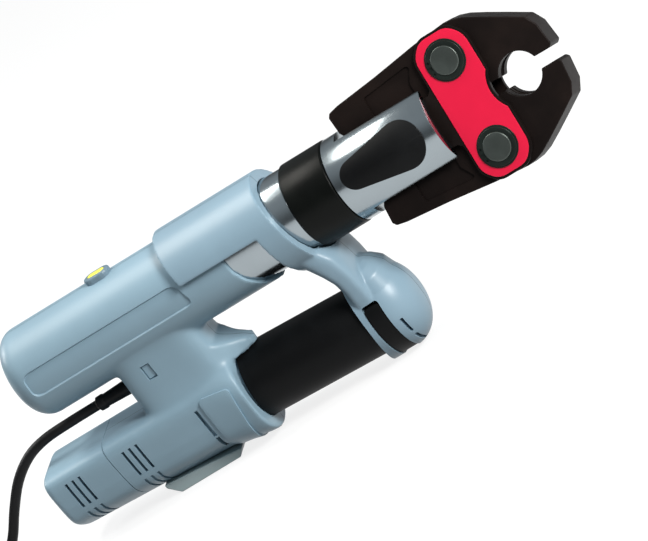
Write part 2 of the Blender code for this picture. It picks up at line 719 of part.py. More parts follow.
def grip():
    inner = GRIP_R - GRIP_SLEEVE_WALL
    tube("grip_sleeve", GAP, GRIP_LENGTH - 2 * GAP, inner + GAP, GRIP_R, GRIP, "rubber_black", 36, 0.0006)
    tube("grip_tube", -GRIP_TUBE_SEAT - 0.001, GRIP_LENGTH - 2 * GAP, inner - GRIP_TUBE_WALL, inner,
         GRIP, "housing_grey", 36)


def base_rail():
    x = RAIL_HALF_LENGTH
    outline = [(-x + RAIL_NOSE, -AXIS_Z), (x - RAIL_NOSE / 2, -AXIS_Z), (x, case_bottom(x) - GAP - 0.001),
               (x, case_bottom(x) - GAP), (-x, case_bottom(-x) - GAP), (-x, case_bottom(-x) - GAP - 0.0025)]
    rail = slab("base_rail", outline, -RAIL_HALF_WIDTH, RAIL_HALF_WIDTH, paint="housing_grey")
    bevel(rail, 0.0006, 1)


def indicator():
    bezel = upright_stadium("indicator_bezel", LED_X, LED_LENGTH, LED_WIDTH, LED_BASE_Z, LED_TOP_Z)
    bevel(bezel, 0.0012, 2)
    cut(bezel, upright_stadium("lens_hole", LED_X, LENS_LENGTH + 2 * GAP, LENS_WIDTH + 2 * GAP, 0.02, 0.04))
    lens = upright_stadium("indicator_lens", LED_X, LENS_LENGTH, LENS_WIDTH, LED_BASE_Z, LED_TOP_Z + 0.0004,
                           "lens_yellow")
    bevel(lens, 0.0008, 2)


def release_button():
    """A square push button in the near side of the bridge, just under the barrel."""
    face_y = -(BRIDGE_HALF_WIDTH - 0.0012)
    cap = button_opening("release_button", 0.0, face_y, face_y + 0.0075)
    cap.data.materials.clear()
    cap.data.materials.append(material("housing_grey"))
    bevel(cap, 0.0005, 1)


def drive_train():
    """Motor, gearbox and pump, one behind the other in the barrel."""
    front = PUMP_FRONT_X
    rear = front - PUMP_LENGTH
    pump = rod("pump_block", rear, front, DRIVE_R, paint="cast_alloy", sides=20, chamfer=0.0015)
    shaft_r = 0.004
    cut(pump, rod("bore", rear - 0.01, rear + 0.014, shaft_r + GAP, sides=12))
    gear_rear = rear - GAP - GEARBOX_LENGTH
    tube("gearbox_case", gear_rear, rear - GAP, shaft_r + GAP, DRIVE_R, paint="cast_alloy", sides=20,
         chamfer=0.0012)
    motor_rear = gear_rear - GAP - MOTOR_LENGTH
    motor = rod("drive_motor", motor_rear, gear_rear - GAP, DRIVE_R - 0.002, paint="steel", sides=20, chamfer=0.002)
    cut(motor, rod("bore", gear_rear - GAP - 0.012, gear_rear + 0.01, shaft_r + GAP, sides=12))
    rod("drive_shaft", gear_rear - GAP - 0.0115, rear + 0.0135, shaft_r, sides=12)
    tank_front = BRIDGE_FRONT_TOP_X - CASE_WALL - 0.0012
    tank = box("oil_reservoir", (tank_front - 0.025, -0.013, -0.052), (tank_front, 0.013, -DRIVE_R - GAP),
               paint="rubber_black")
    bevel(tank, 0.003, 2)


def electronics():
    """The mains unit that the vents cool, standing on the case's floor."""
    x, top, low = SUPPLY_HALF_LENGTH, SUPPLY_TOP_Z, SUPPLY_TOP_Z - SUPPLY_HEIGHT
    supply = box("power_supply", (-x, -SUPPLY_HALF_WIDTH, low), (x, SUPPLY_HALF_WIDTH, top), paint="cast_alloy")
    floor = case_bottom(-x) + CASE_WALL + GAP
    join(supply, box("foot", (-x, -0.006, floor), (x - 0.001, 0.006, low + 0.001)))
    pitch = 2 * x / SUPPLY_FINS
    fins = None
    for k in range(SUPPLY_FINS - 1):
        start = -x + (k + 0.6) * pitch
        groove = box("groove", (start, -0.03, top - 0.007), (start + pitch * 0.5, 0.03, top + 0.01))
        fins = join(fins, groove) if fins else groove
    cut(supply, fins)
    box("control_board", (-x - 0.002, -0.0175, top + GAP), (x + 0.006, 0.0175, top + GAP + 0.0016),
        paint="board_green")
    rear = CASE_REAR_X + CASE_WALL + 0.006
    axis_z = case_bottom(rear) + CASE_WALL + GAP + FILTER_R
    rod("mains_filter", rear, rear + FILTER_LENGTH, FILTER_R, BODY @ Matrix.Translation((0.0, 0.0, axis_z)),
        "steel", 16, 0.001)


def housing_screws():
    """Screws sunk in the left half's wall, at the far side, that draw it to the right half."""
    for k, (x, z, y) in enumerate(SCREW_PLACES, 1):
        screw = cross_rod(f"housing_screw_{k}", x, z, y - SCREW_LENGTH, y, SCREW_R, sides=16)
        cut(screw, box("recess", (x - 0.0014, y - 0.0007, z - 0.0014), (x + 0.0014, y + 0.001, z + 0.0014)))


def cylinder_and_ram():
    """The chromed hydraulic cylinder, and the ram, yoke and rollers that it drives."""
    body = rod("cylinder_barrel", CYLINDER_REAR_X, CYLINDER_FRONT_X, CYLINDER_R, paint="chrome", sides=ROUND,
               chamfer=0.0008)
    cut(body, rod("bore", CYLINDER_REAR_X + 0.012, CYLINDER_FRONT_X - 0.006, CYLINDER_BORE_R, sides=36))
    cut(body, rod("gland", CYLINDER_FRONT_X - 0.010, CYLINDER_FRONT_X + 0.01, ROD_R + GAP, sides=36))
    yoke_rear, yoke_front = HEAD_FLOOR_X + 0.0008, ROLLER_X + 0.0045
    flange_front = ROLLER_X - ROLLER_R - 0.001
    profile = [(ROD_REAR_X - PISTON_LENGTH, 0.0), (ROD_REAR_X - PISTON_LENGTH, CYLINDER_BORE_R - GAP),
               (ROD_REAR_X, CYLINDER_BORE_R - GAP), (ROD_REAR_X, ROD_R), (yoke_rear, ROD_R),
               (yoke_rear, YOKE_FLANGE_R), (flange_front, YOKE_FLANGE_R), (flange_front, 0.0)]
    yoke = turned("ram_rod", profile, HEAD, "chrome", 28)
    inner = ROLLER_HALF_WIDTH + GAP
    outer = inner + YOKE_PLATE
    for side in (-1, 1):
        y0, y1 = sorted((side * inner, side * outer))
        join(yoke, box("plate", (flange_front - 0.003, y0, -YOKE_HALF_HEIGHT), (yoke_front, y1, YOKE_HALF_HEIGHT), HEAD))
    for name, q in (("upper_roller", ROLLER_Q), ("lower_roller", -ROLLER_Q)):
        join(yoke, cross_rod("axle", ROLLER_X, q, -outer - 0.0002, outer + 0.0002, AXLE_R, HEAD, sides=16))
        cross_tube(name, ROLLER_X, q, -ROLLER_HALF_WIDTH, ROLLER_HALF_WIDTH, AXLE_R + GAP, ROLLER_R, HEAD, "steel",
                   28, 0.0007)


def teardrop(swell=0.0):
    """The pad's outline: a small round end to the rear and a large one to the front."""
    xs, xl = PAD_REAR_X + PAD_SMALL_R, PAD_FRONT_X - PAD_LARGE_R
    lean = math.degrees(math.asin((PAD_LARGE_R - PAD_SMALL_R) / (xl - xs)))
    large = arc(xl, 0.0, PAD_LARGE_R + swell, -90.0 - lean, 90.0 + lean, 16)
    return large + arc(xs, 0.0, PAD_SMALL_R + swell, 90.0 + lean, 270.0 - lean, 10)


def head():
    """The swivelling head: spigot, black ring, chromed fork and the pads on its cheeks."""
    front = HEAD_FRONT_X
    profile = [(RING_REAR_X, ROD_R + GAP), (RING_REAR_X, SPIGOT_R), (RING_FRONT_X + GAP, SPIGOT_R),
               (RING_FRONT_X + GAP, HEAD_R - 0.0004), (RING_FRONT_X + 0.0007, HEAD_R),
               (front - 0.0012, HEAD_R), (front, HEAD_R - 0.0012), (front, HEAD_BORE_R),
               (HEAD_FLOOR_X, HEAD_BORE_R), (HEAD_FLOOR_X, ROD_R + GAP)]
    fork = turned("fork_head", profile, HEAD, "chrome", ROUND, closed=True)
    cut(fork, box("slot", (SLOT_REAR_X, -SLOT_HALF, -0.04), (front + 0.02, SLOT_HALF, 0.04), HEAD))
    cut(fork, cross_rod("bolt_hole", BOLT_X, 0.0, -0.04, 0.04, BOLT_R + GAP, HEAD))
    tube("swivel_ring", RING_REAR_X, RING_FRONT_X, SPIGOT_R + GAP, RING_R, HEAD, "rubber_black", ROUND, 0.0008)
    for name, side in (("near_cheek_pad", -1), ("far_cheek_pad", 1)):
        pad = tube(name, PAD_REAR_X - 0.01, PAD_FRONT_X + 0.01, HEAD_R + GAP, HEAD_R + GAP + PAD_THICKNESS, HEAD,
                   "rubber_black", ROUND)
        y0, y1 = sorted((0.0, side * 0.05))
        combine(pad, slab("keep", teardrop(), y0, y1, HEAD), "INTERSECT")
        if side > 0:
            cut(pad, cross_rod("knob_hole", BOLT_X, 0.0, 0.0, 0.05, BOLT_R + GAP, HEAD))


def locking_bolt():
    """The bolt that holds the jaw set in the fork, with its knob at the far side."""
    bolt = cross_rod("locking_bolt", BOLT_X, 0.0, BOLT_NEAR_Y, BOLT_FAR_Y + 0.001, BOLT_R, HEAD, "steel", 24, 0.0012)
    knob = cross_rod("knob", BOLT_X, 0.0, BOLT_FAR_Y, BOLT_FAR_Y + KNOB_LENGTH, KNOB_R, HEAD, "steel", 24, 0.0012)
    join(bolt, knob)


def jaw_outline():
    """The upper jaw seen from the side, as (x, q) points, from its tail round to its tip."""
    inner = [(0.2020, 0.0262), (0.2050, 0.0215), (0.2120, 0.0193), (0.2320, 0.0190), (0.2400, 0.0158),
             (0.2470, 0.0135), (0.2600, 0.0105), (0.2730, 0.0062), (0.2860, 0.0044), (0.3030, 0.0044)]
    start = math.degrees(math.asin(TIP_HALF_GAP / THROAT_R))
    throat = arc(THROAT_X, 0.0, THROAT_R, 180.0 - start, start, 14)
    tip = [(0.3470, TIP_HALF_GAP), (0.3490, 0.0062), (0.3474, 0.0205)]
    outer = [(0.3432, 0.0280), (0.3300, 0.0358), (0.3180, 0.0427), (0.3085, 0.0478), (0.3020, 0.0500),
             (0.2960, 0.0507), (0.2730, 0.0488), (0.2400, 0.0445), (0.2100, 0.0415), (0.2030, 0.0400),
             (0.2012, 0.0375)]
    return inner + throat + tip + outer


def jaws():
    """The two jaws, mirror images of each other, each on its own pin."""
    for name, sign in (("upper_jaw", 1.0), ("lower_jaw", -1.0)):
        outline = [(x, sign * q) for x, q in jaw_outline()]
        jaw = slab(name, outline, -JAW_HALF_THICKNESS, JAW_HALF_THICKNESS, HEAD, "black_oxide")
        cut(jaw, cross_rod("pin_hole", PIN_X, sign * PIN_Q, -0.03, 0.03, PIN_R + GAP, HEAD, sides=28))
        cut(jaw, jaw_groove(sign))


def jaw_groove(sign):
    """The rounded groove inside the throat that takes the fitting's bead."""
    ring = cross_tube("groove", THROAT_X, 0.0, -0.0035, 0.0035, THROAT_R - 0.004, THROAT_R + 0.0016, HEAD, sides=36)
    return ring


def plate_outline():
    """A side plate: a wide red front round the two pins and a narrower tail with the bolt's hole."""
    half = 0.0480
    r = 0.0180
    rear_x, front_x = 0.2672, 0.3070
    tail_x, tail_q = 0.2300, 0.0175
    upper = [(rear_x, 0.0200)] + arc(rear_x + r, half - r, r, 180.0, 90.0, 8)
    upper += arc(front_x - r - 0.0005, half - r, r, 70.0, 10.0, 6)
    scallop = arc(THROAT_X, 0.0, 0.0190, 150.0, 180.0, 6)
    top = [(tail_x, tail_q - 0.004), (tail_x + 0.004, tail_q), (rear_x - 0.004, tail_q)] + upper + scallop
    return top + [(x, -q) for x, q in reversed(top[:-1])]


def side_plates():
    for name, side in (("near_side_plate", -1), ("far_side_plate", 1)):
        y0, y1 = sorted((side * PLATE_INNER_Y, side * PLATE_OUTER_Y))
        plate = slab(name, plate_outline(), y0, y1, HEAD, "plate_red")
        for q in (PIN_Q, -PIN_Q):
            cut(plate, cross_rod("pin_hole", PIN_X, q, -0.03, 0.03, PIN_R + GAP, HEAD, sides=28))
        cut(plate, cross_rod("bolt_hole", BOLT_X, 0.0, -0.03, 0.03, BOLT_R + GAP, HEAD))


def pins_and_clips():
    for row, q in (("upper", PIN_Q), ("lower", -PIN_Q)):
        cross_rod(f"{row}_jaw_pin", PIN_X, q, -PIN_HALF_LENGTH, PIN_HALF_LENGTH, PIN_R, HEAD, "steel", 28, 0.0008)
        for face, side in (("near", -1), ("far", 1)):
            y0, y1 = sorted((side * (PLATE_OUTER_Y + GAP), side * (PLATE_OUTER_Y + GAP + CLIP_THICKNESS)))
            clip = cross_tube(f"{row}_{face}_circlip", PIN_X, q, y0, y1, PIN_R + 0.0002, CLIP_R, HEAD, "steel", 20)
            cut(clip, box("mouth", (PIN_X - 0.02, -0.03, q - 0.0022), (PIN_X, 0.03, q + 0.0022), HEAD))


def smooth_route(points, count):
    """A smooth curve through the given points, read off at even steps of each span."""
    route = []
    ends = [2 * points[0] - points[1]] + list(points) + [2 * points[-1] - points[-2]]
    for a, b, c, d in zip(ends, ends[1:], ends[2:], ends[3:]):
        for k in range(count):
            t = k / count
            route.append(0.5 * ((2 * b) + (c - a) * t + (2 * a - 5 * b + 4 * c - d) * t * t
                                + (3 * b - a - 3 * c + d) * t ** 3))
    return route + [points[-1]]


CORD_POINTS = tuple(Vector(p) for p in (
    (-0.0355, 0.000, 0.0735), (-0.058, 0.000, 0.0733), (-0.078, 0.001, 0.0720), (-0.095, 0.003, 0.0670),
    (-0.112, 0.006, 0.0560), (-0.128, 0.010, 0.0400), (-0.143, 0.014, 0.0230), (-0.160, 0.018, 0.0095),
    (-0.180, 0.022, 0.0045),
))


def cord_route():
    """The lead's free stretch, which ends square to the coil's outer side."""
    outer = COIL_MEAN_R + COIL_TURNS_WIDE * (2 * CORD_R + GAP) / 2 + GAP
    way = CORD_POINTS[-1] - COIL_CENTRE
    way.z = 0.0
    way.normalize()
    end = COIL_CENTRE + way * outer
    rest_z = Vector((0.0, 0.0, CORD_R + GAP))
    return smooth_route(CORD_POINTS + (end + way * 0.014 + rest_z, end + rest_z), 3)


def tube_along(name, points, radius, paint, resolution=CORD_SIDES_RESOLUTION):
    curve = bpy.data.curves.new(name, "CURVE")
    curve.dimensions = "3D"
    curve.bevel_depth = radius
    curve.bevel_resolution = resolution
    curve.use_fill_caps = True
    line = curve.splines.new("POLY")
    line.points.add(len(points) - 1)
    for point, place in zip(line.points, points):
        point.co = (*place, 1.0)
    drawn = bpy.data.objects.new(name + "_curve", curve)
    bpy.context.scene.collection.objects.link(drawn)
    bpy.context.view_layer.update()
    graph = bpy.context.evaluated_depsgraph_get()
    mesh = bpy.data.meshes.new_from_object(drawn.evaluated_get(graph))
    bpy.data.objects.remove(drawn, do_unlink=True)
    bm = bmesh.new()
    bm.from_mesh(mesh)
    return add_mesh(name, bm, Matrix.Identity(4), paint)


def mains_cord():
    """Strain relief, lead, coil and plug of the mains cord, lying behind the tool."""
    relief_place = Matrix.Translation((0.0, 0.0, AXIS_Z + GLAND_Z))
    rear = GLAND_FRONT_X - GLAND_LENGTH
    seat = [(rear, 0.0), (rear, 0.0034), (rear + 0.001, 0.0038)]
    ribs = []
    for k in range(4):
        x = rear + 0.0045 + k * 0.0052
        r = 0.0039 + 0.00022 * k
        ribs += [(x, r), (x + 0.0003, r - 0.0006), (x + 0.0013, r - 0.0006), (x + 0.0016, r + 0.00015)]
    neck = [(GLAND_FRONT_X, GLAND_R), (GLAND_FRONT_X, GLAND_R * 0.7), (GLAND_FRONT_X + 0.006, GLAND_R * 0.7),
            (GLAND_FRONT_X + 0.006, 0.0)]
    turned("strain_relief", seat + ribs + neck, relief_place, "rubber_black", 16)
    tube_along("mains_lead", cord_route(), CORD_R, "cord_black")
    pitch = 2 * CORD_R + GAP
    half_wide = pitch * COIL_TURNS_WIDE / 2
    high = pitch * COIL_TURNS_HIGH
    place = Matrix.Translation(COIL_CENTRE) @ Matrix.Rotation(math.radians(-90.0), 4, "Y")
    tube("cord_coil", 0.0002, high, COIL_MEAN_R - half_wide, COIL_MEAN_R + half_wide, place, "cord_black", COIL_SIDES, 0.002)
    mains_plug()


def mains_plug():
    """A round two-pin plug with earth clips, lying inside the coil."""
    place = Matrix.Translation(COIL_CENTRE + Vector((0.0, 0.0, 0.0168)))
    plug = rod("mains_plug", -0.016, 0.014, 0.0165, place, "rubber_black", 20, 0.002)
    nose_r = CORD_R + 0.0008
    inner = (COIL_MEAN_R - COIL_TURNS_WIDE * (2 * CORD_R + GAP) / 2) * math.cos(math.pi / COIL_SIDES)
    reach = math.sqrt(inner ** 2 - nose_r ** 2) - GAP
    join(plug, rod("nose", -reach, -0.0155, nose_r, place, sides=12))
    for y in (-0.0095, 0.0095):
        pin_place = place @ Matrix.Translation((0.0, y, 0.0))
        join(plug, rod("pin", 0.0135, 0.0225, 0.0024, pin_place, "steel", 16))


def set_origins():
    """Put each moving piece's origin on its joint's axis, with its shape left where it is."""
    upper_pin, lower_pin = Vector((PIN_X, 0.0, PIN_Q)), Vector((PIN_X, 0.0, -PIN_Q))
    swivelling = ("fork_head", "swivel_ring", "near_cheek_pad", "far_cheek_pad", "near_side_plate",
                  "far_side_plate", "upper_jaw_pin", "lower_jaw_pin", "upper_near_circlip",
                  "upper_far_circlip", "lower_near_circlip", "lower_far_circlip")
    places = {name: HEAD @ Vector((RING_REAR_X, 0.0, 0.0)) for name in swivelling}
    places.update({
        "ram_rod": HEAD @ Vector((ROLLER_X, 0.0, 0.0)),
        "upper_roller": HEAD @ Vector((ROLLER_X, 0.0, ROLLER_Q)),
        "lower_roller": HEAD @ Vector((ROLLER_X, 0.0, -ROLLER_Q)),
        "upper_jaw": HEAD @ upper_pin,
        "lower_jaw": HEAD @ lower_pin,
        "locking_bolt": HEAD @ Vector((BOLT_X, 0.0, 0.0)),
        "trigger": BODY @ Vector((TRIGGER_REAR_X, 0.0, BULB_Z)),
        "release_button": BODY @ Vector((BUTTON_X, -BRIDGE_HALF_WIDTH, BUTTON_Z)),
        "drive_shaft": BODY @ Vector((PUMP_FRONT_X - PUMP_LENGTH, 0.0, 0.0)),
    })
    for name, place in places.items():
        item = bpy.data.objects[name]
        item.data.transform(Matrix.Translation(-place))
        item.location = place


def main():
    clear_scene()
    housing_shells()
    rear_cover()
    guard_shells()
    trigger_and_switch()
    grip()
    base_rail()
    indicator()
    release_button()
    drive_train()
    electronics()
    housing_screws()
    cylinder_and_ram()
    head()
    locking_bolt()
    jaws()
    side_plates()
    pins_and_clips()
    mains_cord()
    set_origins()


main()
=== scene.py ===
"""The finish of a pipe press tool: moulded grey housing, chromed fork, black jaws and red side plates."""

import json
import math

import bmesh
import bpy
from bpy.props import FloatProperty, FloatVectorProperty, IntProperty, PointerProperty
from mathutils import Matrix, Vector


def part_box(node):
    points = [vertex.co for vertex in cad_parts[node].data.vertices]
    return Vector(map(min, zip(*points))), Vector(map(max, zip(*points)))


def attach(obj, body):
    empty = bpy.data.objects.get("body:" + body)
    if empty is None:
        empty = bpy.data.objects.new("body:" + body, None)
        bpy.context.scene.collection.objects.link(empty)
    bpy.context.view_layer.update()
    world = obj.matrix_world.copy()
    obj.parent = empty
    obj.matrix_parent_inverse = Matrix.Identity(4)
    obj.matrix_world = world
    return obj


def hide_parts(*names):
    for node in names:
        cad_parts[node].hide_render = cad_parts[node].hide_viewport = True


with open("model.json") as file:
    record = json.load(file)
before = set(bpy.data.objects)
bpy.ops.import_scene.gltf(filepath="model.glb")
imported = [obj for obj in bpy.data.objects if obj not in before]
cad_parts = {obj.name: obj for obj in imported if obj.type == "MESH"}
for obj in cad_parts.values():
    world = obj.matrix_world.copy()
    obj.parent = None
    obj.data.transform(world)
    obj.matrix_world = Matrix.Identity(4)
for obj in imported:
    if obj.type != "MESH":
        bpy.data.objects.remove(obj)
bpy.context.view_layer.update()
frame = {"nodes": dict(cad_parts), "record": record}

bl_info = {
    "name": "Pipe press tool",
    "version": (1, 0, 0),
    "blender": (4, 5, 0),
    "location": "View3D > Sidebar > Press tool",
    "description": "Builds the finished surfaces of a pipe press tool round its working parts",
    "category": "Object",
}


def turn_by(degrees, axis):
    return Matrix.Rotation(math.radians(degrees), 4, axis)


# Places shared by several pieces, in metres. The barrel's axis runs along +X at AXIS_Z.
AXIS_Z = 0.114
BODY = Matrix.Translation((0.0, 0.0, AXIS_Z))
HEAD = BODY @ turn_by(-17.0, "X")
GRIP = BODY @ Matrix.Translation((0.062, 0.0, -0.081)) @ turn_by(2.3, "Y")
SMOOTH_ANGLE = math.radians(32.0)
GAP = 0.0003
HOLE_EDGE = 0.0002
FLAT = Matrix.Identity(4)
# The place of a slab whose outline is seen from above: its depth is then the drop below the barrel's axis.
FROM_ABOVE = BODY @ turn_by(-90.0, "X")


def length(name, description, default):
    """A panel field for a length."""
    return FloatProperty(name=name, description=description, default=default, unit="LENGTH")


def tone(name, description, default):
    """A panel field for a colour."""
    return FloatVectorProperty(name=name, description=description, default=default, subtype="COLOR")


class ToolSizes(bpy.types.PropertyGroup):
    """Sizes of the finished surfaces that a user would change."""

    barrel_radius: length("Barrel radius", "Outer radius of the barrel", 0.030)
    collar_radius: length("Collar radius", "Outer radius of the guard's collar", 0.035)
    shell_voxel: length("Shell grain", "Size of the cells the moulded skins are made of", 0.0009)
    dome_radius: length("Dome radius", "Radius of the guard's domed end", 0.0305)
    grip_radius: length("Grip radius", "Outer radius of the rubber grip", 0.02375)
    edge_round: length("Edge round", "Rounding along the edges of the jaws", 0.0009)
    vent_width: length("Vent width", "Width of a vent slot", 0.0020)


class ToolColours(bpy.types.PropertyGroup):
    """Colours of the finishes."""

    housing: tone("Housing", "Moulded housing", (0.262, 0.392, 0.480))
    guard: tone("Guard", "Moulded guard and collar", (0.240, 0.355, 0.440))
    rubber: tone("Rubber", "Grip and trigger", (0.0035, 0.0038, 0.0042))
    plate: tone("Side plate", "Coated side plates", (0.700, 0.006, 0.045))
    jaw: tone("Jaw", "Blackened jaws", (0.0064, 0.0044, 0.0040))
    lens: tone("Lens", "Indicator lens", (0.900, 0.850, 0.120))


class CordSizes(bpy.types.PropertyGroup):
    """The mains lead."""

    diameter: length("Diameter", "Outer diameter of the lead", 0.0068)
    turns: IntProperty(name="Turns", description="Whole turns in the coil", default=9, min=1)
    coil_radius: length("Coil radius", "Radius of the coil's middle turn", 0.041)


def sizes():
    return bpy.context.scene.press_tool_sizes


def colours():
    return bpy.context.scene.press_tool_colours


def cord_sizes():
    return bpy.context.scene.press_tool_cord


# Shader maths

class Sock:
    """A node socket that can be used in Python expressions."""

    def __init__(self, tree, socket):
        self.tree = tree
        self.socket = socket

    def math(self, operation, *others, clamp=False):
        node = self.tree.nodes.new("ShaderNodeMath")
        node.operation = operation
        node.use_clamp = clamp
        for slot, value in zip(node.inputs, (self, *others)):
            put(self.tree, slot, value)
        return Sock(self.tree, node.outputs[0])

    def __add__(self, other):
        return self.math("ADD", other)

    def __sub__(self, other):
        return self.math("SUBTRACT", other)

    def __mul__(self, other):
        return self.math("MULTIPLY", other)

    def __rsub__(self, other):
        return (self * -1.0) + other

    __radd__ = __add__
    __rmul__ = __mul__

    def steps(self, low, high, bottom=0.0, top=1.0):
        """bottom below low, top above high, smooth between."""
        ends = {"Value": self, "From Min": low, "From Max": high, "To Min": bottom, "To Max": top}
        curve = {"interpolation_type": "SMOOTHSTEP"}
        return Nodes(self.tree).node("ShaderNodeMapRange", curve, ends, "Result")


def put(tree, slot, value):
    """Link a socket to a slot, or set the slot's own value."""
    if isinstance(value, Sock):
        tree.links.new(value.socket, slot)
    elif isinstance(value, (tuple, list)) and len(value) == 3 and slot.type == "RGBA":
        slot.default_value = (*value, 1.0)
    else:
        slot.default_value = value


class Nodes:
    """A node tree and the one way to add a node to it: its type, its settings, then its values and links."""

    def __init__(self, tree):
        self.tree = tree

    def node(self, kind, settings, values, output=0):
        made = self.tree.nodes.new(kind)
        for key, value in settings.items():
            setattr(made, key, value)
        for key, value in values.items():
            put(self.tree, made.inputs[key], value)
        return Sock(self.tree, made.outputs[output])


class Growth(Nodes):
    """A Geometry Nodes tree with named inputs, which is run once on an object and leaves a plain mesh."""

    def __init__(self, name, **defaults):
        super().__init__(bpy.data.node_groups.new(name, "GeometryNodeTree"))
        self.tree.interface.new_socket("Geometry", in_out="OUTPUT", socket_type="NodeSocketGeometry")
        self.tree.interface.new_socket("Geometry", in_out="INPUT", socket_type="NodeSocketGeometry")
        self.identifiers = {}
        for key, value in defaults.items():
            kind = "NodeSocketInt" if isinstance(value, int) else "NodeSocketFloat"
            made = self.tree.interface.new_socket(key, in_out="INPUT", socket_type=kind)
            made.default_value = value
            self.identifiers[key] = made.identifier
        self.entry = self.tree.nodes.new("NodeGroupInput")
        self.exit = self.tree.nodes.new("NodeGroupOutput")

    def given(self, name):
        return Sock(self.tree, self.entry.outputs[name])

    def end(self, geometry, finish):
        """Close the tree with Realize Instances and Set Material."""
        real = self.node("GeometryNodeRealizeInstances", {}, {"Geometry": geometry})
        faced = self.node("GeometryNodeSetMaterial", {}, {"Geometry": real, "Material": FINISHES[finish]})
        put(self.tree, self.exit.inputs["Geometry"], faced)
        return self

    def attach(self, item, **values):
        grown = item.modifiers.new(self.tree.name, "NODES")
        grown.node_group = self.tree
        for key, value in values.items():
            grown[self.identifiers[key]] = value

    def run(self, item, **values):
        self.attach(item, **values)
        return bake(item)


def plain_copy(name, item):
    """A plain mesh object holding what an object's modifiers make of it."""
    mesh = evaluated(item)
    bm = bmesh.new()
    bm.from_mesh(mesh)
    made = new_object(name, bm)
    for finish in mesh.materials:
        made.data.materials.append(finish)
    bpy.data.meshes.remove(mesh)
    return made


def repeated_row(item, finish, place, **values):
    """A row of copies of a form along X, centred on its own place."""
    row = Growth("row_of_forms", Count=3, Spacing=0.005)
    start = (1.0 - row.given("Count")) * row.given("Spacing") * 0.5
    points = row.node("GeometryNodeMeshLine", {"mode": "OFFSET"},
                      {"Count": row.given("Count"),
                       "Start Location": row.node("ShaderNodeCombineXYZ", {}, {"X": start}),
                       "Offset": row.node("ShaderNodeCombineXYZ", {}, {"X": row.given("Spacing")})})
    copies = row.node("GeometryNodeInstanceOnPoints", {},
                      {"Points": points, "Instance": row.given("Geometry")})
    row.end(copies, finish).run(item, **values)
    item.data.transform(place)
    return item


def screw_heads(name, places, finish, **values):
    """Pan-head screws with a hexagon socket, one on each point of places and facing +Y."""
    heads = Growth("socket_screws", Radius=0.0026, Height=0.0020, Socket=0.0014, Depth=0.0012)

    def cylinder(sides, radius, depth):
        sizes_given = {"Vertices": sides, "Radius": radius, "Depth": depth}
        return heads.node("GeometryNodeMeshCylinder", {}, sizes_given, "Mesh")

    head = cylinder(32, heads.given("Radius"), heads.given("Height"))
    hexagon = cylinder(6, heads.given("Socket"), heads.given("Depth") * 2.0)
    top = heads.node("ShaderNodeCombineXYZ", {}, {"Z": heads.given("Height") * 0.5})
    raised = heads.node("GeometryNodeTransform", {}, {"Geometry": hexagon, "Translation": top})
    socketed = heads.node("GeometryNodeMeshBoolean", {"operation": "DIFFERENCE"},
                          {"Mesh 1": head, "Mesh 2": raised})
    facing = heads.node("FunctionNodeEulerToRotation", {}, {"Euler": (math.radians(-90.0), 0.0, 0.0)})
    copies = heads.node("GeometryNodeInstanceOnPoints", {},
                        {"Points": heads.given("Geometry"), "Instance": socketed, "Rotation": facing})
    bm = bmesh.new()
    for place in places:
        bm.verts.new(place)
    return heads.end(copies, finish).run(new_object(name, bm, None, finish, False), **values)


class Finish(Nodes):
    """One material's node tree, with short ways to add to it."""

    def __init__(self, name, **constants):
        self.material = bpy.data.materials.new(name)
        self.material.use_nodes = True
        super().__init__(self.material.node_tree)
        self.shader = self.tree.nodes["Principled BSDF"]
        for key, value in constants.items():
            put(self.tree, self.shader.inputs[key.replace("_", " ")], value)
        self.coordinates = self.node("ShaderNodeTexCoord", {}, {}, "Object")

    def noise(self, scale, detail=3.0, rough=0.55, vector=None):
        values = {"Vector": vector or self.coordinates, "Scale": scale, "Detail": detail, "Roughness": rough}
        return self.node("ShaderNodeTexNoise", {}, values, "Fac")

    def stretched(self, scale):
        return self.node("ShaderNodeMapping", {}, {"Vector": self.coordinates, "Scale": scale})

    def mix(self, factor, first, second):
        made = self.tree.nodes.new("ShaderNodeMix")
        made.data_type = "RGBA"
        for slot, value in (("Factor", factor), ("A", first), ("B", second)):
            put(self.tree, made.inputs[slot], value)
        return Sock(self.tree, made.outputs["Result"])

    def axis(self, which):
        return self.node("ShaderNodeSeparateXYZ", {}, {"Vector": self.coordinates}, which)

    def set(self, name, value):
        put(self.tree, self.shader.inputs[name], value)

    def bump(self, height, strength, distance):
        values = {"Height": height, "Strength": strength, "Distance": distance}
        self.set("Normal", self.node("ShaderNodeBump", {}, values, "Normal"))

    def worn(self, patches, grain, edges, shades, rough, raised):
        """Tint by patches, vary the roughness by patches and grain, and raise the grain a little."""
        by_patch, by_grain, base = rough
        self.set("Base Color", self.mix(patches.steps(*edges), *shades))
        self.set("Roughness", patches * by_patch + (grain * by_grain + base))
        self.bump(grain, *raised)
        return self.material


def shade(colour, factor):
    return tuple(min(1.0, c * factor) for c in colour)


def plastic(name, colour, roughness=0.40, halves=False):
    """Moulded plastic with a fine spark-eroded grain, faint flow marks and the line where two halves meet."""
    made = Finish(name, Specular_IOR_Level=0.45)
    clouds, grain = made.noise(18.0, 4.0), made.noise(2600.0, 2.0)
    shades = [shade(colour, 0.965), shade(colour, 1.03)]
    if halves:
        joint = 1.0 - made.axis("Y").math("ABSOLUTE").steps(0.00012, 0.00034)
        shades = [made.mix(joint, tint, shade(colour, 0.12)) for tint in shades]
    return made.worn(clouds, grain, (0.35, 0.65), shades, (0.05, 0.05, roughness - 0.05), (0.10, 0.0002))


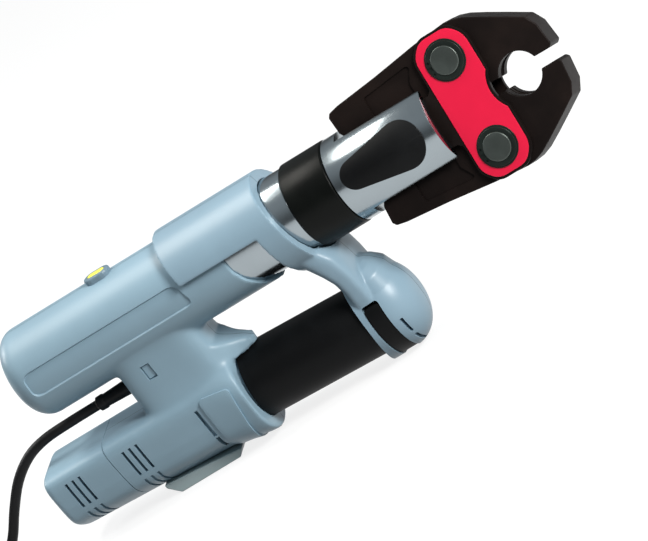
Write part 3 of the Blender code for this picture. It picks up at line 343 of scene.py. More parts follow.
def rubber(name, colour, roughness=0.50):
    """Matt rubber with a soft worn sheen."""
    made = Finish(name, Specular_IOR_Level=0.11)
    return made.worn(made.noise(35.0, 5.0), made.noise(1900.0, 2.0), (0.4, 0.75),
                     (colour, shade(colour, 1.6)), (0.12, 0.0, roughness - 0.06), (0.18, 0.0003))


def chrome(name, colour=(0.335, 0.38, 0.405), roughness=0.17):
    """Satin chrome plating over fine turning marks round the barrel's axis."""
    made = Finish(name, Metallic=1.0)
    lines = made.noise(900.0, 2.0, 0.6, made.stretched((1.0, 0.015, 0.015)))
    return made.worn(made.noise(28.0, 4.0), lines, (0.3, 0.7), (shade(colour, 0.94), colour),
                     (0.07, 0.06, roughness - 0.06), (0.05, 0.0002))


def steel(name, colour=(0.30, 0.31, 0.30), roughness=0.34, metallic=0.9):
    """Machined steel, a little darkened by oil."""
    made = Finish(name, Metallic=metallic)
    shades = (shade(colour, 0.82), shade(colour, 1.1))
    return made.worn(made.noise(60.0, 4.0), made.noise(420.0, 4.0, 0.6), (0.35, 0.7), shades,
                     (0.10, 0.10, roughness - 0.10), (0.06, 0.0003))


def black_oxide(name, colour):
    """Forged steel under black oxide, browner and shinier where it is handled."""
    made = Finish(name, Specular_IOR_Level=0.09, Metallic=0.06)
    brown = (colour[0] * 1.9, colour[1] * 1.8, colour[2] * 1.7)
    return made.worn(made.noise(24.0, 4.0), made.noise(130.0, 6.0, 0.62), (0.38, 0.72), (colour, brown),
                     (0.08, 0.16, 0.34), (0.16, 0.0004))


def coated(name, colour):
    """Gloss powder coat with a trace of orange peel."""
    made = Finish(name, Coat_Weight=0.20, Coat_Roughness=0.15)
    return made.worn(made.noise(20.0, 3.0), made.noise(260.0, 2.0), (0.35, 0.65),
                     (shade(colour, 0.93), colour), (0.08, 0.0, 0.30), (0.08, 0.0003))


# A yellow lens with a faint emission of its own: the glow is painted light that brightens the lens like a
# highlight.
def lens_finish(name, colour):
    made = Finish(name, Coat_Weight=0.8, Coat_Roughness=0.05, Emission_Strength=0.25)
    glow = made.noise(150.0, 3.0)
    bright = made.mix(glow.steps(0.3, 0.7), colour, shade(colour, 1.1))
    made.set("Base Color", bright)
    made.set("Roughness", glow * 0.05 + 0.12)
    made.set("Emission Color", bright)
    return made.material


# Painted shade: near black for the faces that cutters leave inside slots, holes, sockets, seams and recesses,
# mottled a little at random.
def painted_shade_finish(name):
    made = Finish(name, Specular_IOR_Level=0.2)
    shade_mottle = made.noise(300.0, 3.0)
    made.set("Base Color", made.mix(shade_mottle, (0.006, 0.007, 0.009), (0.012, 0.013, 0.016)))
    made.set("Roughness", shade_mottle * 0.1 + 0.6)
    return made.material


def board(name):
    made = Finish(name)
    tracks = {"Vector": made.coordinates, "Scale": 60.0, "Color1": (0.02, 0.16, 0.07),
              "Color2": (0.02, 0.20, 0.09), "Mortar": (0.30, 0.22, 0.05)}
    made.set("Base Color", made.node("ShaderNodeTexBrick", {}, tracks, "Color"))
    made.set("Roughness", made.noise(200.0) * 0.2 + 0.35)
    return made.material


FINISHES = {}


def make_finishes():
    c = colours()
    FINISHES.update({
        "housing_grey": plastic("housing_plastic", tuple(c.housing), 0.40, True),
        "guard_grey": plastic("guard_plastic", tuple(c.guard), 0.36, True),
        "cover_grey": plastic("cover_plastic", tuple(c.housing)),
        # The rail's plastic is a paler copy of the housing's: its own grey-green tone with painted light,
        # lighter as if lit.
        "rail_painted_light": plastic("rail_plastic", (0.400, 0.500, 0.520)),
        "rubber_black": rubber("grip_rubber", tuple(c.rubber)),
        "chrome": chrome("satin_chrome"),
        "black_oxide": black_oxide("jaw_oxide", tuple(c.jaw)),
        "plate_red": coated("plate_coat", tuple(c.plate)),
        "steel": steel("machined_steel"),
        "pin_steel": steel("pin_end", (0.085, 0.10, 0.092), 0.38, 0.75),
        "clip_steel": steel("clip_phosphate", (0.022, 0.030, 0.026), 0.36, 0.7),
        "cast_alloy": steel("cast_alloy", (0.42, 0.43, 0.44), 0.42, 0.9),
        "lens_yellow": lens_finish("indicator_lens", tuple(c.lens)),
        # The bezel is a darker copy of the housing plastic: partly its own tone, partly painted shade round
        # the lens.
        "bezel_grey": plastic("bezel_plastic", (0.17, 0.25, 0.31), 0.30),
        "board_green": board("circuit_board"),
        "cord_black": rubber("cord_sheath", (0.012, 0.012, 0.013), 0.42),
        # Painted shade for the walls of slots, holes, sockets and seams.
        "gap_dark": painted_shade_finish("slot_dark"),
        "ring_black": rubber("ring_black", (0.0024, 0.0030, 0.0026), 0.34),
    })


def dress_nodes():
    """Give each working part that stays in view its finish."""
    for entry in frame["record"]["subparts"]:
        item = frame["nodes"][entry["node"]]
        # The rail takes the paler plastic with painted light in place of its own slot's finish.
        finish = FINISHES["rail_painted_light" if entry["node"] == "base_rail" else entry["material_slot"]]
        if not item.material_slots:
            item.data.materials.append(finish)
        for place in item.material_slots:
            place.material = finish


# Mesh building

def collection(name):
    found = bpy.data.collections.get(name)
    if not found:
        found = bpy.data.collections.new(name)
        bpy.context.scene.collection.children.link(found)
    return found


def link(name, data):
    made = bpy.data.objects.new(name, data)
    collection("finished_surfaces").objects.link(made)
    return made


def smooth(mesh):
    mesh.shade_smooth()
    mesh.set_sharp_from_angle(angle=SMOOTH_ANGLE)


def new_object(name, bm, place=None, finish=None, recalc=True):
    bmesh.ops.remove_doubles(bm, verts=bm.verts, dist=1e-7)
    if recalc:
        bmesh.ops.recalc_face_normals(bm, faces=bm.faces)
    mesh = bpy.data.meshes.new(name)
    bm.to_mesh(mesh)
    bm.free()
    if place is not None:
        mesh.transform(place)
    smooth(mesh)
    if finish:
        mesh.materials.append(FINISHES[finish])
    return link(name, mesh)


def evaluated(item):
    """A new mesh of what an object's modifiers make of it."""
    bpy.context.view_layer.update()
    graph = bpy.context.evaluated_depsgraph_get()
    return bpy.data.meshes.new_from_object(item.evaluated_get(graph))


def bake(item, resmooth=True):
    """Replace an object's mesh with what its modifiers make of it."""
    old = item.data
    item.data = evaluated(item)
    item.modifiers.clear()
    bpy.data.meshes.remove(old)
    if resmooth:
        smooth(item.data)
    return item


def combine(item, other, operation):
    modifier = item.modifiers.new(operation.lower(), "BOOLEAN")
    modifier.operation = operation
    modifier.solver = "EXACT"
    modifier.object = other
    bake(item)
    bpy.data.objects.remove(other, do_unlink=True)
    return item


def cut(item, *cutters):
    for cutter in cutters:
        combine(item, cutter, "DIFFERENCE")
    return item


def join(item, *others):
    for other in others:
        combine(item, other, "UNION")
    return item


def gather(name, items, finish):
    """Overlapping closed forms put into one mesh."""
    bm = bmesh.new()
    for item in items:
        bm.from_mesh(item.data)
        bpy.data.objects.remove(item, do_unlink=True)
    mesh = bpy.data.meshes.new(name)
    bm.to_mesh(mesh)
    bm.free()
    mesh.materials.append(FINISHES[finish])
    return link(name, mesh)


def skin(item, voxel, calm, blend=None, passes=0):
    """Draw one smooth skin over overlapping forms, smoothed more where blend(point) is near 1."""
    remesh = item.modifiers.new("skin", "REMESH")
    remesh.mode = "VOXEL"
    remesh.voxel_size = voxel
    bake(item)
    soften = item.modifiers.new("calm", "SMOOTH")
    soften.factor = 0.5
    soften.iterations = calm
    bake(item)
    if blend:
        group = item.vertex_groups.new(name="blend")
        for vertex in item.data.vertices:
            weight = blend(vertex.co)
            if weight > 0.01:
                group.add([vertex.index], min(weight, 1.0), "REPLACE")
        soften = item.modifiers.new("blend", "SMOOTH")
        soften.factor = 0.6
        soften.iterations = passes
        soften.vertex_group = "blend"
        bake(item)
        item.vertex_groups.clear()
    return item


def bevel(item, width, segments=3, angle=30.0):
    modifier = item.modifiers.new("edge", "BEVEL")
    modifier.width = width
    modifier.segments = segments
    modifier.limit_method = "ANGLE"
    modifier.angle_limit = math.radians(angle)
    modifier.use_clamp_overlap = True
    return bake(item)


def flatten(item):
    """Give large flat faces their own normals, so that rounded edges don't shade them."""
    modifier = item.modifiers.new("flatten", "WEIGHTED_NORMAL")
    modifier.weight = 100
    modifier.keep_sharp = True
    return bake(item, resmooth=False)


def box(name, low, high, place=BODY, finish=None):
    bm = bmesh.new()
    bmesh.ops.create_cube(bm, size=1.0)
    size = [h - l for l, h in zip(low, high)]
    middle = [(h + l) / 2 for l, h in zip(low, high)]
    bmesh.ops.scale(bm, vec=size, verts=bm.verts)
    bmesh.ops.translate(bm, vec=middle, verts=bm.verts)
    return new_object(name, bm, place, finish)


def turned(name, profile, place=BODY, finish=None, sides=128, closed=False):
    """Points of (distance along +X, radius) spun round the axis."""
    bm = bmesh.new()
    points = [bm.verts.new((along, 0.0, radius)) for along, radius in profile]
    edges = [bm.edges.new(pair) for pair in zip(points, points[1:])]
    if closed:
        edges.append(bm.edges.new((points[-1], points[0])))
    bmesh.ops.spin(bm, geom=points + edges, cent=(0, 0, 0), axis=(1, 0, 0), angle=math.tau, steps=sides,
                   use_merge=True)
    bmesh.ops.remove_doubles(bm, verts=bm.verts, dist=1e-6)
    return new_object(name, bm, place, finish)


def round_corner(x0, outer, edge, steps):
    """Points of a rounded corner, from the end face at x0 to the outside."""
    turns = [math.radians(90.0 * k / steps) for k in range(steps + 1)]
    return [(x0 + edge * (1 - math.cos(a)), outer - edge * (1 - math.sin(a))) for a in turns]


def ring_profile(x0, x1, inner, outer, edge):
    """Closed profile of a ring with rounded outer corners."""
    corner = round_corner(x0, outer, edge, 4)
    far = [(x1 - (x - x0), r) for x, r in reversed(corner)]
    return [(x0, inner)] + corner + far + [(x1, inner)]


def bar_profile(x0, x1, radius, edge=HOLE_EDGE):
    return ring_profile(x0, x1, 0.0, radius, edge)


def cross(x, z):
    """Place of a piece turned about an axis along +Y through (x, z)."""
    return Matrix.Translation((x, 0.0, z)) @ turn_by(90.0, "Z")


def bore(x, z, y0, y1, radius, sides, finish=None, place=HEAD):
    """A round cutter from y0 to y1, about an axis along +Y through (x, z)."""
    return turned("bore", bar_profile(y0, y1, radius), place @ cross(x, z), finish, sides)


def span(side, inner, outer):
    """The reach from inner to outer on one side of the parting plane, lower end first."""
    return sorted((side * inner, side * outer))


def slab(name, outline, y0, y1, place=BODY, finish=None):
    """An outline of (x, z) points pushed from y0 to y1."""
    bm = bmesh.new()
    face = bm.faces.new([bm.verts.new((x, y0, z)) for x, z in outline])
    pushed = bmesh.ops.extrude_face_region(bm, geom=[face])
    moved = [g for g in pushed["geom"] if isinstance(g, bmesh.types.BMVert)]
    bmesh.ops.translate(bm, vec=(0.0, y1 - y0, 0.0), verts=moved)
    return new_object(name, bm, place, finish)


def loft(name, rings):
    """A closed form through rings of like numbers of points."""
    bm = bmesh.new()
    made = [[bm.verts.new(point) for point in ring] for ring in rings]
    for near, far in zip(made, made[1:]):
        for k in range(len(near)):
            nxt = (k + 1) % len(near)
            bm.faces.new((near[k], near[nxt], far[nxt], far[k]))
    bm.faces.new(made[0])
    bm.faces.new(made[-1])
    return new_object(name, bm, BODY)


def squircle(half_a, half_b, power, count, draft=0.0):
    """A ring between an ellipse (power 2) and a box (high powers), wider towards its top by draft."""
    points = []
    for k in range(count):
        angle = math.tau * k / count
        ca, sa = math.cos(angle), math.sin(angle)
        b = math.copysign(abs(sa) ** (2.0 / power), sa)
        a = math.copysign(abs(ca) ** (2.0 / power), ca) * (1.0 + draft * b)
        points.append((half_a * a, half_b * b))
    return points


def arc(cx, cz, radius, start, end, count):
    angles = [math.radians(start + (end - start) * k / count) for k in range(count + 1)]
    return [(cx + radius * math.cos(a), cz + radius * math.sin(a)) for a in angles]


def near(value, centre, reach):
    """1 at the centre, falling smoothly to 0 at reach."""
    t = min(abs(value - centre) / reach, 1.0)
    return (1.0 - t * t) ** 2


def settle(item, body, slot, *nodes):
    """Ride a finished piece on its body and let it stand for its working parts."""
    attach(item, body)
    if nodes:
        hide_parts(*nodes)
    return item


# Lower case and barrel

BARREL_REAR_X = -0.066
BARREL_REAR_ROUND = 0.013
BARREL_FRONT_X = 0.124
CASE_REAR_X = -0.0892
CASE_REAR_ROUND = 0.004
CASE_SEAM_TOP_X = -0.0420
CASE_SEAM_LEAN = -0.03
CASE_FRONT_X = 0.0585
CASE_TOP_Z = -0.0575
CASE_HALF_WIDTH = 0.0255
CASE_SQUARENESS = 5.6
CASE_DRAFT = 0.10
KEEL_LIFT = 0.51
KEEL_ROUND = 0.002
GRIP_REAR_Z = -0.081
GRIP_BORE_R = 0.0240
RIM_R = 0.0315
BRIDGE_REAR_X = -0.0075
BRIDGE_FRONT_TOP_X = 0.0540
BRIDGE_FRONT_LOW_X = CASE_FRONT_X + 0.0016
BRIDGE_FRONT_BOW = 1.2
BRIDGE_TOP_Z = -0.016
BRIDGE_LOW_Z = CASE_TOP_Z - 0.006
BRIDGE_HALF_WIDTH = 0.0225
BRIDGE_FLARE = 0.12
BRIDGE_SQUARENESS = 5.0
TONGUE_R = 0.0287
TONGUE_TIP_X = 0.0768
PAD_BACK_X = 0.0295
PAD_TOP_Z = -0.0645
PAD_RISE = 0.0013
SIDE_SLOT_X = 0.0247
SIDE_SLOT_HALF = 0.0013
PANEL_REAR_X = -0.0530
PANEL_FRONT_X = 0.0690
PANEL_LEAN = 0.0042
PANEL_ROUND = 0.0056
PANEL_DEPTH = 0.0012
PANEL_LOW_ANGLE = -14.5
PANEL_ANGLE = 31.7


def keel(x):
    """Height of the underside of the lower case, which slopes down towards the front."""
    return -0.1095 - 0.047 * x


def case_section(x, inset=0.0, grow=0.0):
    """One ring of the lower case at x, from a drafted box at the rear to the round rim at the front."""
    blend = min(max((x - 0.020) / (CASE_FRONT_X - 0.020), 0.0), 1.0) ** 1.6
    top = CASE_TOP_Z * (1.0 - blend) + (GRIP_REAR_Z + RIM_R) * blend + grow
    low = keel(x) * (1.0 - blend) + (GRIP_REAR_Z - RIM_R) * blend - grow
    wide = CASE_HALF_WIDTH * (1.0 - blend) + RIM_R * blend + grow
    power = CASE_SQUARENESS * (1.0 - blend) + 2.1 * blend
    middle, half = (top + low) / 2, (top - low) / 2
    ring = squircle(wide - inset, half - inset, power, 160, CASE_DRAFT * (1.0 - blend))
    lift = KEEL_LIFT * (1.0 - blend) / wide
    return [Vector((x, a, middle + (b * (1.0 - lift * math.hypot(a, KEEL_ROUND)) if b < 0.0 else b)))
            for a, b in ring]


def lower_case(name, x0, x1, round_rear=0.0, round_front=0.0, grow=0.0):
    """The lower case from x0 to x1, with its ends rounded where a radius is given."""
    rings = []
    if round_rear:
        for k in range(9):
            turn = math.radians(90.0 * k / 8)
            inset = round_rear * (1 - math.sin(turn))
            rings.append(case_section(x0 + round_rear * (1 - math.cos(turn)), inset, grow))
    else:
        rings.append(case_section(x0, 0.0, grow))
    start, stop = rings[-1][0].x, x1 - round_front
    steps = max(2, int((stop - start) / 0.003))
    rings += [case_section(start + (stop - start) * k / steps, 0.0, grow) for k in range(1, steps + 1)]
    for k in range(1, 7 if round_front else 1):
        turn = math.radians(15.0 * k)
        inset = round_front * (1 - math.cos(turn))
        rings.append(case_section(stop + round_front * math.sin(turn), inset, grow))
    return loft(name, rings)


def barrel_form(name):
    """The barrel with its round rear and, in front, the hollow that the guard's collar sits in."""
    radius = sizes().barrel_radius
    curve = round_corner(BARREL_REAR_X, radius, BARREL_REAR_ROUND, 12)
    form = turned(name, [(BARREL_REAR_X, 0.0)] + curve + [(BARREL_FRONT_X, radius), (BARREL_FRONT_X, 0.0)])
    rim = [(0.1006, 0.040), (0.1006, 0.006), (0.1015, -0.004), (0.1045, -0.014), (0.1105, -0.024),
           (0.1215, -0.0315), (0.130, -0.040)]
    return cut(form, slab("rim", rim + [(0.16, -0.040), (0.16, 0.040)], -0.05, 0.05))


def bridge_form(name):
    """The neck between the barrel and the lower case, with its front sloping out to the rim."""
    rings = []
    for k in range(25):
        t = k / 24
        z = BRIDGE_TOP_Z + t * (BRIDGE_LOW_Z - BRIDGE_TOP_Z)
        front = BRIDGE_FRONT_TOP_X + (BRIDGE_FRONT_LOW_X - BRIDGE_FRONT_TOP_X) * t ** BRIDGE_FRONT_BOW
        flare = 1.0 + BRIDGE_FLARE * (2.0 * t - 1.0) ** 4
        ring = squircle((front - BRIDGE_REAR_X) / 2, BRIDGE_HALF_WIDTH * flare, BRIDGE_SQUARENESS, 96)
        rings.append([Vector(((BRIDGE_REAR_X + front) / 2 + a, b, z)) for a, b in ring])
    return loft(name, rings)


def seam_cutter(name, ahead, clearance):
    """Everything ahead of the leaning seam of the lower case, or everything behind it."""
    edge = [(CASE_SEAM_TOP_X + CASE_SEAM_LEAN * (z - CASE_TOP_Z) + clearance, z) for z in (-0.125, -0.0545)]
    far = 0.02 if ahead else -0.12
    # The seam's cut faces get painted shade, dark as the gap between case and cover.
    return slab(name, edge + [(far, edge[1][1]), (far, edge[0][1])], -0.04, 0.04, BODY, "gap_dark")


def swept_cutter(name, middle_x, side_x, half_width, far_x, z0, z1, finish=None):
    """An upright block whose face is bowed: middle_x on the parting plane and side_x at half_width."""
    bow = [(middle_x + (side_x - middle_x) * (k / 24) ** 2, half_width * k / 24) for k in range(-32, 33)]
    return slab(name, bow + [(far_x, 0.06), (far_x, -0.06)], -z1, -z0, FROM_ABOVE, finish)


def rim_tongue():
    """The finger of the front rim that runs out over the top of the grip."""
    lip = turned("tongue", [(-0.0055, 0.0242), (-0.0055, TONGUE_R), (0.020, TONGUE_R), (0.020, 0.0242)], GRIP,
                 closed=True)
    half, long = 0.0085, 0.0120
    tip = [(TONGUE_TIP_X - long * (1 - math.cos(a)), half * math.sin(a))
           for a in (math.radians(7.5 * k) for k in range(-12, 13))]
    outline = [(0.045, -half)] + tip + [(0.045, half)]
    return combine(lip, slab("keep", outline, 0.040, -GRIP_REAR_Z, FROM_ABOVE), "INTERSECT")


def tongue_web():
    """The sloping web that carries the finger out from the front of the bridge, narrower towards its tip."""
    side = [(0.0480, -0.0380), (0.0580, -0.0420), (0.0650, -0.0465), (0.0725, -0.0500), (0.0752, -0.0530),
            (0.0752, -0.0560), (0.0480, -0.0600)]
    plan = [(0.0480, 0.0200), (0.0570, 0.0175), (0.0620, 0.0130), (0.0680, 0.0090), (0.0760, 0.0060)]
    outline = plan + [(x, -y) for x, y in reversed(plan)]
    return combine(slab("web", side, -0.03, 0.03), slab("keep", outline, 0.030, 0.070, FROM_ABOVE),
                   "INTERSECT")


def side_pads():
    """The raised pads on both sides of the lower case, just behind the front rim."""
    band = lower_case("pads", PAD_BACK_X, CASE_FRONT_X - 0.0030, grow=PAD_RISE)
    edge = [(PAD_BACK_X - 0.0035, -0.118), (PAD_BACK_X + 0.0002, -0.083), (PAD_BACK_X + 0.0004, -0.0685)]
    edge += arc(PAD_BACK_X + 0.0044, PAD_TOP_Z - 0.0030, 0.0040, 180.0, 90.0, 8)
    edge += arc(0.0490, PAD_TOP_Z - 0.0040, 0.0030, 80.0, 10.0, 8) + [(0.0479, -0.1006), (0.0450, -0.118)]
    combine(band, slab("keep", edge, -0.05, 0.05), "INTERSECT")
    return bevel(band, 0.0006, 3)


def side_slots():
    """The long upright slot on both sides, in two lengths where the case narrows."""
    forms = []
    for z0, z1, inner in ((-0.0900, -0.0688, 0.0225), (-0.1010, -0.0915, 0.0120)):
        for side in (-1.0, 1.0):
            y0, y1 = span(side, inner, 0.040)
            forms.append(box("slot", (SIDE_SLOT_X - SIDE_SLOT_HALF, y0, z0),
                             (SIDE_SLOT_X + SIDE_SLOT_HALF, y1, z1)))
    # The slot walls get painted shade.
    return gather("side_slots", forms, "gap_dark")


def vent_cutters(name, centre_x, rise=0.0):
    """Rows of upright slots on both sides and round the lower corners, in one cutter."""
    half = sizes().vent_width / 2
    low, base, top, turn = keel(centre_x), -0.0865 + rise, -0.0670 + rise, -0.0906 + rise
    across = turn_by(90.0, "Z")
    rows = []
    for side in (-1.0, 1.0):
        corner = [(side * 0.0295, turn), (side * 0.0222, turn), (side * 0.0180, low + 0.0115),
                  (side * 0.0030, low + 0.0040), (side * 0.0030, low - 0.006), (side * 0.0295, low - 0.006)]
        upright = [(-half, base), (-half, top), (half, top), (half, base)]
        rows += [slab("slot", upright, *span(side, 0.0205, 0.032), FLAT),
                 slab("corner", corner, -half, half, across)]
    place = BODY @ Matrix.Translation((centre_x, 0.0, 0.0))
    # The vent walls get painted shade.
    forms = [repeated_row(form, "gap_dark", place, Count=3, Spacing=0.005) for form in rows]
    return gather(name, forms, "gap_dark")


def name_panel():
    """The bare sunk panel along the side of the barrel, with sloping walls and rounded corners."""
    radius, columns, rows = sizes().barrel_radius, 72, 28
    shells = []
    bm = bmesh.new()
    for r in (radius - PANEL_DEPTH, radius + 0.002):
        grow = (r - radius + PANEL_DEPTH) * 0.45
        layer = []
        for k in range(rows + 1):
            t = k / rows
            corner = corner_inset(t, 0.30) * PANEL_ROUND
            start = PANEL_REAR_X + corner - grow
            end = PANEL_FRONT_X - PANEL_LEAN * t - corner + grow
            angle = math.radians(PANEL_LOW_ANGLE + PANEL_ANGLE * t) + (2.0 * t - 1.0) * grow / radius
            layer.append([bm.verts.new((start + (end - start) * j / columns, -r * math.cos(angle),
                                        r * math.sin(angle))) for j in range(columns + 1)])
        shells.append(layer)
    close_grid(bm, *shells)
    return new_object("panel", bm, BODY, "housing_grey")


def corner_inset(t, share):
    """How far a rounded end is drawn in at t across it: 1 at its corners, 0 past their share."""
    near_edge = min(t, 1.0 - t) / share
    return 0.0 if near_edge >= 1.0 else 1.0 - math.sqrt(1.0 - (1.0 - near_edge) ** 2)


def close_grid(bm, inner, outer):
    """Faces over two like grids of points and round the edge between them."""
    rows, columns = len(inner) - 1, len(inner[0]) - 1
    for layer in (inner, outer):
        for a, b in zip(layer, layer[1:]):
            for j in range(columns):
                bm.faces.new((a[j], a[j + 1], b[j + 1], b[j]))
    for k in (0, rows):
        for j in range(columns):
            bm.faces.new((inner[k][j], inner[k][j + 1], outer[k][j + 1], outer[k][j]))
    for k in range(rows):
        for j in (0, columns):
            bm.faces.new((inner[k][j], inner[k + 1][j], outer[k + 1][j], outer[k][j]))


def button_recess():
    """The seat of the release button, open to the side it is pressed from."""
    low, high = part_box("release_button")
    # The recess walls get painted shade.
    return box("recess", (low[0] - GAP, low[1] - 0.012, low[2] - GAP),
               (high[0] + GAP, low[1] + 0.0035, high[2] + GAP), FLAT, "gap_dark")


class PRESSTOOL_OT_housing(bpy.types.Operator):
    """Build the moulded housing: barrel, bridge and lower case in one smooth skin"""

    bl_idname = "press_tool.housing"
    bl_label = "Housing"

    def execute(self, context):
        forms = [barrel_form("barrel"), bridge_form("bridge"), rim_tongue(), tongue_web(),
                 lower_case("lower", CASE_SEAM_TOP_X - 0.018, CASE_FRONT_X, 0.0, 0.0015)]
        shell = gather("housing", forms, "housing_grey")

        def blend(p):
            z = p.z - AXIS_Z
            upper = near(z, -0.027, 0.013) * (-0.02 < p.x < 0.072)
            lower = near(z, -0.057, 0.010) * (-0.018 < p.x < 0.062)
            web = near(z, -0.048, 0.011) * (0.050 < p.x < 0.074 and abs(p.y) < 0.024)
            return max(upper, lower, web)

        skin(shell, sizes().shell_voxel, 3, blend, 60)
        join(shell, side_pads())
        # The grip's socket is lined with painted shade.
        socket = turned("socket", bar_profile(-0.012, 0.030, GRIP_BORE_R), GRIP, "gap_dark")
        panel = name_panel()
        mirrored = mirror_copy(panel)
        bores = [bore(x, z, y - 0.0016, 0.036, SCREW_HOLE_R, 32, "housing_grey", FLAT)
                 for x, y, z in screw_places()]
        cut(shell, seam_cutter("seam", False, 0.0005), vent_cutters("vents", -0.026), side_slots(), socket,
            panel, mirrored, button_recess(), gather("bores", bores, "housing_grey"))
        settle(shell, "tool_body", "housing_grey", "left_housing_shell", "right_housing_shell")
        return {"FINISHED"}


def mirror_copy(item):
    """A copy of a closed form on the other side of the parting plane."""
    bm = bmesh.new()
    bm.from_mesh(item.data)
    bmesh.ops.scale(bm, vec=(1.0, -1.0, 1.0), verts=bm.verts)
    bmesh.ops.reverse_faces(bm, faces=bm.faces)
    made = new_object(item.name + "_far", bm, recalc=True)
    for finish in item.data.materials:
        made.data.materials.append(finish)
    return made


SCREW_NAMES = tuple(f"housing_screw_{k}" for k in (1, 2, 3, 4))
SCREW_HOLE_R = 0.0030


def screw_places():
    """The middle of each screw's head, a little under the surface it holds."""
    boxes = [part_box(name) for name in SCREW_NAMES]
    return [((low[0] + high[0]) / 2, high[1], (low[2] + high[2]) / 2) for low, high in boxes]


class PRESSTOOL_OT_screws(bpy.types.Operator):
    """Put the screws that hold the two halves of the housing together"""

    bl_idname = "press_tool.screws"
    bl_label = "Screws"

    def execute(self, context):
        places = [(x, y - 0.0008, z) for x, y, z in screw_places()]
        heads = screw_heads("housing_screws", places, "steel", Radius=0.0026, Height=0.0016, Socket=0.0014)
        settle(heads, "tool_body", "steel", *SCREW_NAMES)
        return {"FINISHED"}


class PRESSTOOL_OT_rear_cover(bpy.types.Operator):
    """Build the vented rear cover of the lower case"""

    bl_idname = "press_tool.rear_cover"
    bl_label = "Rear cover"

    def execute(self, context):
        form = lower_case("cover", CASE_REAR_X, CASE_SEAM_TOP_X + 0.002, CASE_REAR_ROUND)
        cover = gather("rear_case_cover", [form], "cover_grey")
        skin(cover, sizes().shell_voxel, 2)
        cut(cover, seam_cutter("seam", True, 0.0), vent_cutters("vents", -0.0695, 0.0012))
        settle(cover, "tool_body", "housing_grey", "rear_cover")
        return {"FINISHED"}


# Guard

def leaning_ring(name, inner, outer, x0_top, x0_low, x1_top, x1_low):
    """A length of tube whose ends lean: each runs from its low x to its top x."""
    rear, front = min(x0_top, x0_low) - 0.02, max(x1_top, x1_low) + 0.02
    blank = turned(name, [(rear, inner), (rear, outer), (front, outer), (front, inner)], closed=True)
    past, height = 0.2, outer * 1.4
    lean = [(x0_low + (x0_low - x0_top) * past, -height), (x1_low + (x1_low - x1_top) * past, -height),
            (x1_top - (x1_low - x1_top) * past, height), (x0_top - (x0_low - x0_top) * past, height)]
    return combine(blank, slab("keep", lean, -0.06, 0.06), "INTERSECT")


def guard_section(x0, x1, z0, z1, half_width, front_power):
    """A ring across the guard from (x0, z0) behind to (x1, z1) in front, where its corners are squarer."""
    inner, outer = Vector((x0, 0.0, z0)), Vector((x1, 0.0, z1))
    middle, half = (inner + outer) / 2, (outer - inner) / 2
    unit = half.normalized()
    front, rear = (squircle(half.length, half_width, power, 96) for power in (front_power, ARM_REAR_POWER))
    ring = [ahead if ahead[0] > 0.0 else behind for ahead, behind in zip(front, rear)]
    return [middle + unit * a + Vector((0.0, b, 0.0)) for a, b in ring]


ARM_REAR_POWER = 2.4
ARM_FRONT_POWER = 5.0
ARM_STATIONS = (
    (0.1290, 0.1530, -0.0200, -0.0220, 0.0262), (0.1345, 0.1590, -0.0310, -0.0310, 0.0258),
    (0.1400, 0.1607, -0.0400, -0.0385, 0.0255), (0.1438, 0.1620, -0.0480, -0.0465, 0.0250),
    (0.1450, 0.1628, -0.0560, -0.0550, 0.0245), (0.1445, 0.1632, -0.0640, -0.0640, 0.0238),
    (0.1432, 0.1632, -0.0740, -0.0740, 0.0225),
)
BROW_POWER = 2.2
BROW_STATIONS = (
    (0.1500, 0.1630, -0.0470, -0.0460, 0.0060), (0.1490, 0.1660, -0.0492, -0.0474, 0.0110),
    (0.1480, 0.1697, -0.0530, -0.0500, 0.0150), (0.1450, 0.1750, -0.0600, -0.0555, 0.0190),
    (0.1430, 0.1784, -0.0700, -0.0655, 0.0212), (0.1415, 0.1790, -0.0800, -0.0780, 0.0200),
)
GUARD_SLOT_X = 0.169
DOME_REAR_X = 0.1378
DOME_FRONT_X = 0.1825
DOME_MIDDLE_X = 0.1440
DOME_SIDE_X = 0.1475
DOME_Z = -0.0835
DOME_FLAT = 0.022
DOME_SQUASH = 0.84
COLLAR_BORE_R = 0.0279
TRIGGER_REAR_X = 0.1515
TRIGGER_FRONT_X = 0.163
TRIGGER_LOW_Z = -0.1335
TRIGGER_ROUND = 0.0026
TRIGGER_INSET = 0.0009
TRIGGER_INNER_INSET = 0.0043


def dome_form(name, shrink=0.0, finish=None):
    """The turned dome with its short straight rear, drawn in by shrink all round."""
    radius = sizes().dome_radius - shrink
    depth = DOME_FRONT_X - DOME_REAR_X - DOME_FLAT - shrink
    profile = [(0.0, 0.0), (0.0, radius - 0.0015), (0.0008, radius - 0.0005), (0.002, radius)]
    profile += [(DOME_FLAT + depth * math.sin(a), radius * math.cos(a) ** 0.8)
                for a in (math.radians(4.5 * k) for k in range(20))]
    profile += [(DOME_FLAT + depth, 0.0)]
    place = Matrix.Translation((DOME_REAR_X, 0.0, DOME_Z)) @ Matrix.Diagonal((1.0, DOME_SQUASH, 1.0, 1.0))
    return turned(name, profile, BODY @ place, finish)


def trigger_window(name, clearance, top_z, finish=None):
    """The band's opening seen from the side, with rounded upper corners."""
    x0, x1, r = TRIGGER_REAR_X - clearance, TRIGGER_FRONT_X + clearance, TRIGGER_ROUND
    outline = arc(x0 + r, top_z - r, r, 180.0, 90.0, 8) + arc(x1 - r, top_z - r, r, 90.0, 0.0, 8)
    return slab(name, outline + [(x1, TRIGGER_LOW_Z), (x0, TRIGGER_LOW_Z)], -0.05, 0.05, BODY, finish)


